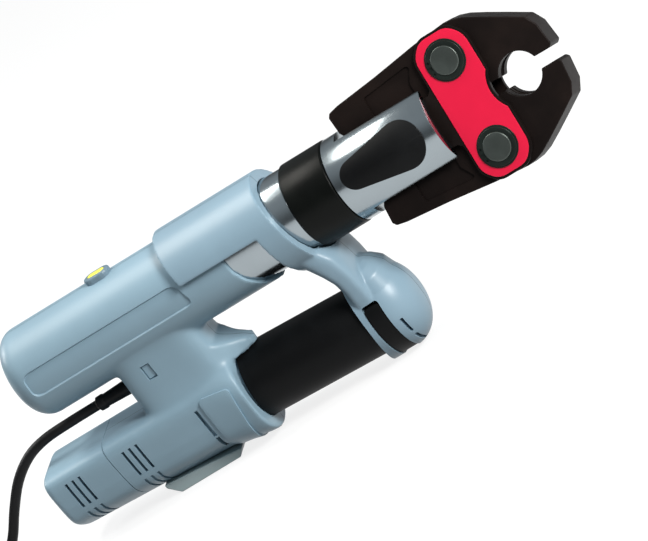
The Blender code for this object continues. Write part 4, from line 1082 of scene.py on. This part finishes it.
def guard_slot_cutters():
    """The thin upright slots with round ends, on both sides of the dome."""
    radius, forms = 0.0011, []
    for z0, z1, y in ((-0.0992, -0.0870, 0.012), (-0.1115, -0.1018, 0.005)):
        middle, stretch = (z0 + z1) / 2, (z1 - z0) / 2 - radius
        circle = [point for start in (-90.0, 90.0)
                  for point in arc(GUARD_SLOT_X, middle, radius, start, start + 180.0, 8)]
        outline = [(x, z + math.copysign(stretch, z - middle)) for x, z in circle]
        # The slot walls get painted shade.
        forms += [slab("slot", outline, *span(side, y, 0.04), BODY, "gap_dark") for side in (-1.0, 1.0)]
    return gather("slots", forms, "gap_dark")


class PRESSTOOL_OT_guard(bpy.types.Operator):
    """Build the collar, the guard arm and its domed end"""

    bl_idname = "press_tool.guard"
    bl_label = "Guard"

    def execute(self, context):
        outer = sizes().collar_radius
        ring = leaning_ring("ring", COLLAR_BORE_R, outer, 0.1245, 0.134, 0.138, 0.153)
        saddle = leaning_ring("saddle", sizes().barrel_radius + 0.0002, outer, 0.063, 0.080, 0.130, 0.130)
        combine(saddle, box("keep", (0.04, -0.05, 0.007), (0.16, 0.05, 0.05)), "INTERSECT")
        arm = loft("arm", [guard_section(*s, ARM_FRONT_POWER) for s in ARM_STATIONS])
        brow = loft("brow", [guard_section(*s, BROW_POWER) for s in BROW_STATIONS])
        guard = gather("guard", [ring, saddle, arm, brow, dome_form("dome")], "guard_grey")

        def blend(p):
            root = near(p.z - AXIS_Z, -0.030, 0.013) * (p.x > 0.12)
            return max(root, 0.10 if p.z - AXIS_Z < -0.040 else 0.0)

        skin(guard, sizes().shell_voxel * 0.85, 2, blend, 34)
        # The grip's socket and the trigger window are lined with painted shade.
        socket = turned("grip_socket", bar_profile(0.06, 0.0883, GRIP_BORE_R), GRIP, "gap_dark")
        swept = swept_cutter("swept_rear", DOME_MIDDLE_X, DOME_SIDE_X, sizes().dome_radius * DOME_SQUASH,
                             0.10, -0.125, -0.052, "guard_grey")
        cut(guard, turned("bore", bar_profile(0.05, 0.25, COLLAR_BORE_R), BODY, "guard_grey"),
            turned("ring_gap", bar_profile(0.1525, 0.25, 0.0298), BODY, "guard_grey"), swept, socket,
            trigger_window("window", GAP, -0.0687, "gap_dark"), guard_slot_cutters(),
            box("foot_trim", (0.10, -0.05, -AXIS_Z - 0.01), (0.20, 0.05, -AXIS_Z)))
        settle(guard, "tool_body", "guard_grey", "left_guard_shell", "right_guard_shell")
        return {"FINISHED"}


class PRESSTOOL_OT_trigger(bpy.types.Operator):
    """Build the trigger band that runs round the underside of the guard"""

    bl_idname = "press_tool.trigger"
    bl_label = "Trigger"

    def execute(self, context):
        band = dome_form("trigger_band", TRIGGER_INSET, "rubber_black")
        combine(band, trigger_window("keep", 0.0, -0.071), "INTERSECT")
        cut(band, dome_form("core", TRIGGER_INNER_INSET))
        bevel(band, 0.0007, 3)
        settle(band, "trigger", "rubber_black", "trigger")
        return {"FINISHED"}


class PRESSTOOL_OT_grip(bpy.types.Operator):
    """Build the rubber grip sleeve"""

    bl_idname = "press_tool.grip"
    bl_label = "Grip"

    def execute(self, context):
        radius = sizes().grip_radius
        profile = ring_profile(-0.0025, 0.0874, radius - 0.0018, radius, 0.0008)
        sleeve = turned("grip_rubber", profile, GRIP, "rubber_black", closed=True)
        settle(sleeve, "tool_body", "rubber_black", "grip_sleeve")
        return {"FINISHED"}


# Head

BOLT_X = 0.243
BOLT_HOLE_R = 0.0068
CYLINDER_R = 0.0275
RAM_BORE_R = 0.0123
HEAD_REAR_X = 0.1555
NECK_R = 0.0243
FORK_FRONT_X = 0.2623
FORK_R = 0.0283
FORK_BORE_R = 0.0216
FORK_BORE_REAR_X = 0.165
PAD_IN_R = 0.0278
PAD_OUT_R = 0.0298


class PRESSTOOL_OT_head(bpy.types.Operator):
    """Build the chromed cylinder, the black ring, the fork and its cheek pads"""

    bl_idname = "press_tool.head"
    bl_label = "Head"

    def execute(self, context):
        tube = ring_profile(0.062, 0.1552, RAM_BORE_R, CYLINDER_R, 0.0008)
        settle(turned("chrome_cylinder", tube, BODY, "chrome", 160, True), "tool_body", "chrome",
               "cylinder_barrel")
        ring = ring_profile(HEAD_REAR_X, 0.1868, NECK_R + GAP, 0.0288, 0.0009)
        settle(turned("black_ring", ring, HEAD, "ring_black", 160, True), "swivel_head", "rubber_black",
               "swivel_ring")
        self.fork()
        self.pads()
        return {"FINISHED"}

    def fork(self):
        """The chromed fork: a turned head with a wide slot for the jaws' tails."""
        front, radius = FORK_FRONT_X, FORK_R
        profile = [(HEAD_REAR_X, RAM_BORE_R), (HEAD_REAR_X, NECK_R), (0.1871, NECK_R),
                   (0.1871, radius - 0.0006), (0.1874, radius - 0.0002), (0.1879, radius),
                   (front - 0.0014, radius), (front - 0.0005, radius - 0.0004), (front, radius - 0.0013),
                   (front, FORK_BORE_R), (FORK_BORE_REAR_X, FORK_BORE_R), (FORK_BORE_REAR_X, RAM_BORE_R)]
        fork = turned("fork", profile, HEAD, "chrome", 192, True)
        cut(fork, box("slot", (0.198, -0.0155, -0.04), (front + 0.02, 0.0155, 0.04), HEAD, "chrome"))
        cut(fork, bore(BOLT_X, 0.0, -0.04, 0.04, BOLT_HOLE_R, 48, "chrome"))
        settle(fork, "swivel_head", "chrome", "fork_head")

    def pads(self):
        """The rubber pads on both cheeks, each a teardrop cut from a thin tube."""
        xs, xl, small, large = 0.2038, 0.2380, 0.0098, 0.0160
        lean = math.degrees(math.asin((large - small) / (xl - xs)))
        outline = arc(xl, 0.0, large, -90.0 - lean, 90.0 + lean, 40)
        outline += arc(xs, 0.0, small, 90.0 + lean, 270.0 - lean, 24)
        for name, side in (("near_pad", -1), ("far_pad", 1)):
            tube = [(0.18, PAD_IN_R), (0.18, PAD_OUT_R), (0.27, PAD_OUT_R), (0.27, PAD_IN_R)]
            pad = turned(name, tube, HEAD, "rubber_black", 192, True)
            combine(pad, slab("keep", outline, *span(side, 0.0, 0.05), HEAD), "INTERSECT")
            if side > 0:
                cut(pad, bore(BOLT_X, 0.0, 0.0, 0.05, BOLT_HOLE_R, 48))
            bevel(pad, 0.0005, 2, 50.0)
            settle(pad, "swivel_head", "rubber_black", name.replace("_pad", "_cheek_pad"))


# Jaws

THROAT_X = 0.322
THROAT_R = 0.0139
PIN_X = 0.2872
PIN_Q = 0.0308
PIN_HOLE_R = 0.0095
JAW_HALF = 0.0103


def jaw_outline():
    """The upper jaw seen from the side, from its tail along the inside, round the throat and back outside."""
    inner = [(0.2020, 0.0262), (0.2050, 0.0215), (0.2120, 0.0193), (0.2320, 0.0190), (0.2400, 0.0158),
             (0.2470, 0.0135), (0.2600, 0.0105), (0.2730, 0.0062), (0.2860, 0.0044), (0.3030, 0.0044)]
    start = math.degrees(math.asin(0.0042 / THROAT_R))
    throat = arc(THROAT_X, 0.0, THROAT_R, 180.0 - start, start, 48)
    tip = [(0.3470, 0.0042), (0.3490, 0.0062), (0.3474, 0.0205)]
    outer = [(0.3432, 0.0280), (0.3300, 0.0358), (0.3180, 0.0427), (0.3085, 0.0478), (0.3020, 0.0500),
             (0.2960, 0.0507), (0.2730, 0.0488), (0.2400, 0.0445), (0.2100, 0.0415), (0.2030, 0.0400),
             (0.2012, 0.0375)]
    return inner + throat + tip + outer


def jaw_recess(sign):
    """The bare sunk panel on the tail of a jaw."""
    outline = [(0.2271, 0.0240)] + arc(0.2291, 0.0352, 0.0020, 180.0, 95.0, 8)
    outline += arc(0.2606, 0.0382, 0.0020, 95.0, -15.0, 8) + [(0.2580, 0.0300), (0.2580, 0.0240)]
    return slab("recess", [(x, sign * q) for x, q in outline], -0.012, -0.0088, HEAD, "black_oxide")


class PRESSTOOL_OT_jaws(bpy.types.Operator):
    """Build the two forged jaws"""

    bl_idname = "press_tool.jaws"
    bl_label = "Jaws"

    def execute(self, context):
        for name, sign in (("upper_jaw", 1.0), ("lower_jaw", -1.0)):
            outline = [(x, sign * q) for x, q in jaw_outline()]
            jaw = slab(name + "_forging", outline, -JAW_HALF, JAW_HALF, HEAD, "black_oxide")
            bevel(jaw, sizes().edge_round, 3, 25.0)
            cut(jaw, bore(PIN_X, sign * PIN_Q, -0.03, 0.03, PIN_HOLE_R, 64, "black_oxide"))
            groove = ring_profile(-0.0035, 0.0035, THROAT_R - 0.004, THROAT_R + 0.0016, 0.0012)
            cut(jaw, turned("groove", groove, HEAD @ cross(THROAT_X, 0.0), "black_oxide", 96, True),
                jaw_recess(sign))
            flatten(jaw)
            settle(jaw, name, "black_oxide", name)
        return {"FINISHED"}


def plate_outline(inset=0.0):
    """One side plate's upper half seen from the side: a lobe with rounded corners and a hollowed waist."""
    corners = ((0.2679, 0.0200, 0.0), (0.2679, 0.0400, 0.0130), (0.2765, 0.0500, 0.0120),
               (0.2985, 0.0500, 0.0120), (0.3075, 0.0400, 0.0150), (0.3075, 0.0123, 0.0))
    upper = rounded([(x, q) for x, q, _ in corners], [r for _, _, r in corners], inset)
    scallop = arc(THROAT_X, 0.0, 0.0190 + inset, 141.0, 180.0, 24)
    return upper[:-1] + scallop


def rounded(corners, radii, inset):
    """An open line through the corners, drawn in by inset to its right, with each corner rounded."""
    moved = []
    for k, corner in enumerate(corners):
        here = Vector(corner)
        before = here - Vector(corners[max(k - 1, 0)])
        after = Vector(corners[min(k + 1, len(corners) - 1)]) - here
        sides = [Vector((d.y, -d.x)).normalized() for d in (before, after) if d.length > 0.0]
        lean = sum(sides, Vector((0.0, 0.0))).normalized()
        moved.append(here + lean * (inset / lean.dot(sides[0])))
    line = []
    for k, here in enumerate(moved):
        if not 0 < k < len(moved) - 1:
            line.append(tuple(here))
            continue
        back, ahead = (moved[k - 1] - here).normalized(), (moved[k + 1] - here).normalized()
        half = back.angle(ahead) / 2
        room = min((moved[k - 1] - here).length, (moved[k + 1] - here).length) / 2
        reach = min(radii[k] / math.tan(half), room)
        start, stop = here + back * reach, here + ahead * reach
        for j in range(13):
            t = j / 12
            line.append(tuple(start * (1 - t) ** 2 + here * (2 * t * (1 - t)) + stop * t ** 2))
    return line


def whole_outline(upper):
    """An upper half with its mirror image below."""
    return upper + [(x, -q) for x, q in reversed(upper[:-1])]


FACE_INSET = 0.0017
CLIP_BORE_R = 0.0094
CLIP_EAR_R = 0.0110
CLIP_EAR_TURNS = (162.0, 204.0)
PLATE_TAIL = [(0.2300, 0.0135), (0.2340, 0.0175), (0.2650, 0.0175)]


class PRESSTOOL_OT_side_plates(bpy.types.Operator):
    """Build the side plates with their coloured faces, their pins and circlips"""

    bl_idname = "press_tool.side_plates"
    bl_label = "Side plates"

    def execute(self, context):
        for face, side in (("near", -1), ("far", 1)):
            self.plate(face + "_plate", PLATE_TAIL + plate_outline(), span(side, 0.0106, 0.0143), 0.0005,
                       "black_oxide", face + "_side_plate")
            self.plate(face + "_plate_face", plate_outline(FACE_INSET), span(side, 0.0141, 0.0151), 0.0004,
                       "plate_red")
        for row, q in (("upper", PIN_Q), ("lower", -PIN_Q)):
            self.pin_and_clips(row, q)
        return {"FINISHED"}

    def plate(self, name, upper, depth, edge, finish, *nodes):
        """A plate across both jaws, with its three holes and its edges rounded."""
        plate = slab(name, whole_outline(upper), *depth, HEAD, finish)
        holes = ((PIN_X, PIN_Q, PIN_HOLE_R, 64), (PIN_X, -PIN_Q, PIN_HOLE_R, 64),
                 (BOLT_X, 0.0, BOLT_HOLE_R, 48))
        cut(plate, *[bore(x, q, -0.03, 0.03, radius, sides) for x, q, radius, sides in holes])
        bevel(plate, edge, 2)
        settle(flatten(plate), "swivel_head", finish, *nodes)

    def pin_and_clips(self, row, q):
        """A jaw's pin, with a washer and a circlip on both ends."""
        place = HEAD @ cross(PIN_X, q)
        pin = turned(row + "_pin", bar_profile(-0.0176, 0.0176, 0.00925, 0.0008), place, "pin_steel", 96)
        settle(pin, "swivel_head", "steel", row + "_jaw_pin")
        for face, side in (("near", -1), ("far", 1)):
            washer = ring_profile(*span(side, 0.0153, 0.0158), CLIP_BORE_R, 0.0134, 0.0002)
            settle(turned(f"{row}_{face}_washer", washer, place, "clip_steel", 96, True), "swivel_head",
                   "steel")
            y0, y1 = span(side, 0.0159, 0.0168)
            clip = turned(f"{row}_{face}_clip", ring_profile(y0, y1, CLIP_BORE_R, 0.0123, 0.0003), place,
                          "clip_steel", 96, True)
            y0, y1 = y0 - 0.001, y1 + 0.001
            for turn in CLIP_EAR_TURNS:
                x = PIN_X + CLIP_EAR_R * math.cos(math.radians(turn))
                z = q + CLIP_EAR_R * math.sin(math.radians(turn))
                # The ear holes are lined with painted shade.
                cut(clip, bore(x, z, y0, y1, 0.0009, 24, "gap_dark"))
            cut(clip, box("mouth", (PIN_X - 0.014, y0, q - 0.0018), (PIN_X - 0.008, y1, q + 0.0006), HEAD,
                          "clip_steel"))
            settle(clip, "swivel_head", "steel", f"{row}_{face}_circlip")


# Cord

COIL_CENTRE = Vector((-0.262, 0.030, 0.0))
PLUG_HEIGHT = 0.0168
LEAD_IN = 0.030
COIL_ORDER = ((1, 0), (0, 0), (-1, 0), (-1, 1), (0, 1), (1, 1), (1, 2), (0, 2), (-1, 2))
CLIMB_FROM = 0.78
CORD_POINTS = tuple(Vector(p) for p in (
    (-0.0355, 0.000, 0.0735), (-0.058, 0.000, 0.0733), (-0.078, 0.001, 0.0720), (-0.095, 0.003, 0.0670),
    (-0.112, 0.006, 0.0560), (-0.128, 0.010, 0.0400), (-0.143, 0.014, 0.0230), (-0.160, 0.018, 0.0095),
    (-0.180, 0.022, 0.0045),
))


def polyline(name, points):
    """A curve object of straight pieces through points."""
    curve = bpy.data.curves.new(name, "CURVE")
    curve.dimensions = "3D"
    line = curve.splines.new("POLY")
    line.points.add(len(points) - 1)
    for point, place in zip(line.points, points):
        point.co = (*place, 1.0)
    return link(name, curve)


def smooth_route(points, count):
    """count places from each point to the next, along a smooth curve through all of them."""
    route = []
    ends = [2 * points[0] - points[1]] + list(points) + [2 * points[-1] - points[-2]]
    for a, b, c, d in zip(ends, ends[1:], ends[2:], ends[3:]):
        for k in range(count):
            t = k / count
            route.append(0.5 * ((2 * b) + (c - a) * t + (2 * a - 5 * b + 4 * c - d) * t * t
                                + (3 * b - a - 3 * c + d) * t ** 3))
    return route + [points[-1]]


def coil_route():
    """Turns lying beside and on each other, wound from the outside in, layer by layer."""
    size = cord_sizes()
    pitch = size.diameter + GAP
    start = CORD_POINTS[-1] - COIL_CENTRE
    outside = size.coil_radius + pitch
    angle0 = math.atan2(start.y, start.x) + math.acos(outside / math.hypot(start.x, start.y))
    stops = [(size.coil_radius + ring * pitch, size.diameter / 2 + GAP + row * pitch * 0.98)
             for ring, row in COIL_ORDER[:size.turns]]
    points, per_turn = [], 36
    for k, (radius, height) in enumerate(stops):
        after = stops[min(k + 1, len(stops) - 1)]
        for j in range(per_turn):
            t = max(0.0, (j / per_turn - CLIMB_FROM) / (1.0 - CLIMB_FROM))
            ease = t * t * (3 - 2 * t)
            r = radius + (after[0] - radius) * ease
            z = height + (after[1] - height) * ease
            angle = angle0 + math.tau * j / per_turn
            points.append(COIL_CENTRE + Vector((r * math.cos(angle), r * math.sin(angle), z)))
    return points


def boot(name, path, finish, **values):
    """A tapered sleeve along a path, with a bead round its end."""
    sleeve = Growth("tapered_boot", Root=0.0052, Tip=0.0040, Bead=0.0008)
    along = sleeve.node("GeometryNodeSplineParameter", {}, {}, "Factor")
    taper = sleeve.given("Root") + (sleeve.given("Tip") - sleeve.given("Root")) * along
    bead = sleeve.given("Bead") * along.steps(0.80, 0.86)
    fine = sleeve.node("GeometryNodeResampleCurve", {"mode": "COUNT"},
                       {"Curve": sleeve.given("Geometry"), "Count": 60})
    circle = sleeve.node("GeometryNodeCurvePrimitiveCircle", {}, {"Resolution": 40, "Radius": 1.0}, "Curve")
    tube = {"Curve": fine, "Profile Curve": circle, "Scale": taper + bead, "Fill Caps": True}
    item = polyline(name + "_path", path)
    sleeve.end(sleeve.node("GeometryNodeCurveToMesh", {}, tube), finish).attach(item, **values)
    made = plain_copy(name, item)
    bpy.data.objects.remove(item, do_unlink=True)
    return made


class PRESSTOOL_OT_cord(bpy.types.Operator):
    """Lay the mains lead, wind its spare length and finish its plug"""

    bl_idname = "press_tool.cord"
    bl_label = "Mains lead"

    def execute(self, context):
        size = cord_sizes()
        coil = coil_route()
        lead_in = coil[0] + (coil[0] - coil[1]).normalized() * LEAD_IN
        points = smooth_route(list(CORD_POINTS) + [lead_in], 4)[:-1] + smooth_route(coil, 2)
        cord = polyline("mains_cord", points)
        cord.data.bevel_depth = size.diameter / 2
        cord.data.bevel_resolution = 4
        cord.data.use_fill_caps = True
        cord.data.materials.append(FINISHES["cord_black"])
        whole = sum((b - a).length for a, b in zip(points, points[1:]))
        settle(cord, "tool_body", "cord_black", "mains_lead", "cord_coil")
        root = [Vector((x, 0.0, CORD_POINTS[0].z)) for x in (-0.0062, -0.0340)]
        relief = boot("cord_boot", root, "cord_black", Root=0.0053, Tip=0.0041, Bead=0.0007)
        settle(relief, "tool_body", "rubber_black", "strain_relief")
        plug = self.plug()
        return {"FINISHED"}

    def plug(self):
        """The round plug with its tapered neck, its finger ribs and its two pins."""
        place = Matrix.Translation(COIL_CENTRE + Vector((0.0, 0.0, PLUG_HEIGHT)))
        neck = [(-0.0285, 0.0), (-0.0285, 0.0039), (-0.0240, 0.0044), (-0.0195, 0.0053), (-0.0170, 0.0074),
                (-0.0158, 0.0110), (-0.0146, 0.0140), (-0.0128, 0.0156), (-0.0110, 0.0160)]
        face = [(0.0118, 0.0160), (0.0132, 0.0156), (0.0140, 0.0146), (0.0140, 0.0)]
        body = turned("plug_body", neck + face, place, "rubber_black", 72)
        rib = turned("rib", ring_profile(-0.0008, 0.0008, 0.0150, 0.0165, 0.0005), FLAT, "rubber_black", 72,
                     True)
        ribs = repeated_row(rib, "rubber_black", place, Count=6, Spacing=0.0034)
        whole = settle(gather("round_plug", [body, ribs], "rubber_black"), "tool_body", "rubber_black",
                       "mains_plug")
        smooth(whole.data)
        pin = turned("pin", bar_profile(-0.0044, 0.0044, 0.0024, 0.0012), turn_by(-90.0, "Z"), "steel", 32)
        pins = repeated_row(pin, "steel", place @ cross(0.0181, 0.0), Count=2, Spacing=0.0190)
        pins.name = "plug_pins"
        return [whole, settle(pins, "tool_body", "steel")]


# Stage

TARGET = Vector((0.139, 0.0, 0.0717))
VIEW_AZIMUTH = math.radians(20.85)
VIEW_ELEVATION = math.radians(15.95)
VIEW_ROLL = math.radians(-37.3)
VIEW_WIDTH = 0.400
VIEW_DISTANCE = 6.0
SKY_COLOUR = (0.90, 0.96, 1.0)
SKY_STRENGTH = (0.13, 0.45)
FLOOR_SIZE = 6.0
FLOOR_Z = -0.0002
FLOOR_COLOUR = (0.22, 0.22, 0.22)
FLOOR_GLOW = 0.82
LAMPS = (
    ("key", (-0.32, 0.07, 1.33), (0.10, 0.0, 0.08), (0.70, 0.35), 9.5, (1.0, 0.965, 0.90)),
    ("side", (0.98, -0.52, 0.62), (0.10, 0.0, 0.06), (0.40, 0.40), 15.0, (1.0, 0.985, 0.96)),
    ("back", (-1.00, 0.45, 0.75), (0.00, 0.0, 0.06), (0.40, 0.40), 6.0, (1.0, 1.0, 1.0)),
)


def add_light(name, place, aim, size, power, colour):
    lamp = bpy.data.lights.new(name, "AREA")
    lamp.shape = "RECTANGLE"
    lamp.size, lamp.size_y = size
    lamp.energy = power
    lamp.color = colour
    item = bpy.data.objects.new(name, lamp)
    item.location = place
    item.rotation_euler = (Vector(aim) - Vector(place)).to_track_quat("-Z", "Y").to_euler()
    bpy.context.scene.collection.objects.link(item)


def add_camera():
    camera = bpy.data.cameras.new("camera")
    camera.sensor_width = 36.0
    camera.lens = camera.sensor_width * VIEW_DISTANCE / VIEW_WIDTH
    camera.clip_end = 40.0
    item = bpy.data.objects.new("camera", camera)
    away = Vector((math.sin(VIEW_AZIMUTH) * math.cos(VIEW_ELEVATION),
                   -math.cos(VIEW_AZIMUTH) * math.cos(VIEW_ELEVATION), math.sin(VIEW_ELEVATION)))
    turn = (-away).to_track_quat("-Z", "Y").to_matrix().to_4x4() @ Matrix.Rotation(VIEW_ROLL, 4, "Z")
    item.matrix_world = Matrix.Translation(TARGET + away * VIEW_DISTANCE) @ turn
    bpy.context.scene.collection.objects.link(item)
    bpy.context.scene.camera = item


def sky(world):
    """A room that is pale overhead and dim at eye level, which gives the metal its dark bands."""
    world.use_nodes = True
    room = Nodes(world.node_tree)
    way = room.node("ShaderNodeTexCoord", {}, {}, "Generated")
    height = room.node("ShaderNodeSeparateXYZ", {}, {"Vector": way}, "Z")
    back = room.tree.nodes["Background"]
    put(room.tree, back.inputs["Strength"], height.steps(0.10, 0.80, *SKY_STRENGTH))
    put(room.tree, back.inputs["Color"], SKY_COLOUR)


def floor_finish():
    """A floor that looks pale to the camera and in reflections, and lights the tool from below only dimly."""
    made = Finish("studio_floor", Base_Color=FLOOR_COLOUR, Roughness=0.9, Specular_IOR_Level=0.0,
                  Emission_Color=(1.0, 1.0, 1.0))
    seen, mirrored, through = (made.node("ShaderNodeLightPath", {}, {}, f"Is {ray} Ray")
                               for ray in ("Camera", "Glossy", "Transmission"))
    total = seen.math("ADD", mirrored, clamp=True).math("ADD", through, clamp=True)
    made.set("Emission Strength", total * FLOOR_GLOW)
    return made.material


class PRESSTOOL_OT_stage(bpy.types.Operator):
    """Set up the pale floor, the soft studio light and the camera"""

    bl_idname = "press_tool.stage"
    bl_label = "Stage"

    def execute(self, context):
        bm = bmesh.new()
        bmesh.ops.create_grid(bm, x_segments=1, y_segments=1, size=FLOOR_SIZE)
        floor = new_object("floor", bm, Matrix.Translation((0.0, 0.0, FLOOR_Z)), recalc=False)
        floor.data.materials.append(floor_finish())
        scene = bpy.context.scene
        scene.world = scene.world or bpy.data.worlds.new("studio")
        sky(scene.world)
        for lamp in LAMPS:
            add_light(*lamp)
        add_camera()
        scene.view_settings.view_transform = "Standard"
        return {"FINISHED"}


class PRESSTOOL_OT_finishes(bpy.types.Operator):
    """Make the finishes and give them to the working parts"""

    bl_idname = "press_tool.finishes"
    bl_label = "Finishes"

    def execute(self, context):
        make_finishes()
        dress_nodes()
        return {"FINISHED"}


STEPS = (PRESSTOOL_OT_stage, PRESSTOOL_OT_finishes, PRESSTOOL_OT_housing, PRESSTOOL_OT_screws,
         PRESSTOOL_OT_rear_cover, PRESSTOOL_OT_guard, PRESSTOOL_OT_trigger, PRESSTOOL_OT_grip,
         PRESSTOOL_OT_head, PRESSTOOL_OT_jaws, PRESSTOOL_OT_side_plates, PRESSTOOL_OT_cord)


class PRESSTOOL_PT_panel(bpy.types.Panel):
    """Lists the sizes, the colours and the steps"""

    bl_idname = "PRESSTOOL_PT_panel"
    bl_label = "Press tool"
    bl_space_type = "VIEW_3D"
    bl_region_type = "UI"
    bl_category = "Press tool"

    def draw(self, context):
        layout = self.layout
        for group in (sizes(), colours(), cord_sizes()):
            for name in group.bl_rna.properties.keys():
                if name not in ("rna_type", "name"):
                    layout.prop(group, name)
        for step in STEPS:
            layout.operator(step.bl_idname)


GROUPS = {"press_tool_sizes": ToolSizes, "press_tool_colours": ToolColours, "press_tool_cord": CordSizes}


def register():
    for kind in (*GROUPS.values(), *STEPS, PRESSTOOL_PT_panel):
        bpy.utils.register_class(kind)
    for name, kind in GROUPS.items():
        setattr(bpy.types.Scene, name, PointerProperty(type=kind))


def unregister():
    for name in GROUPS:
        delattr(bpy.types.Scene, name)
    for kind in reversed((*GROUPS.values(), *STEPS, PRESSTOOL_PT_panel)):
        bpy.utils.unregister_class(kind)


def main():
    register()
    for step in STEPS:
        group, name = step.bl_idname.split(".")
        getattr(getattr(bpy.ops, group), name)()


if __name__ == "__main__":
    main()
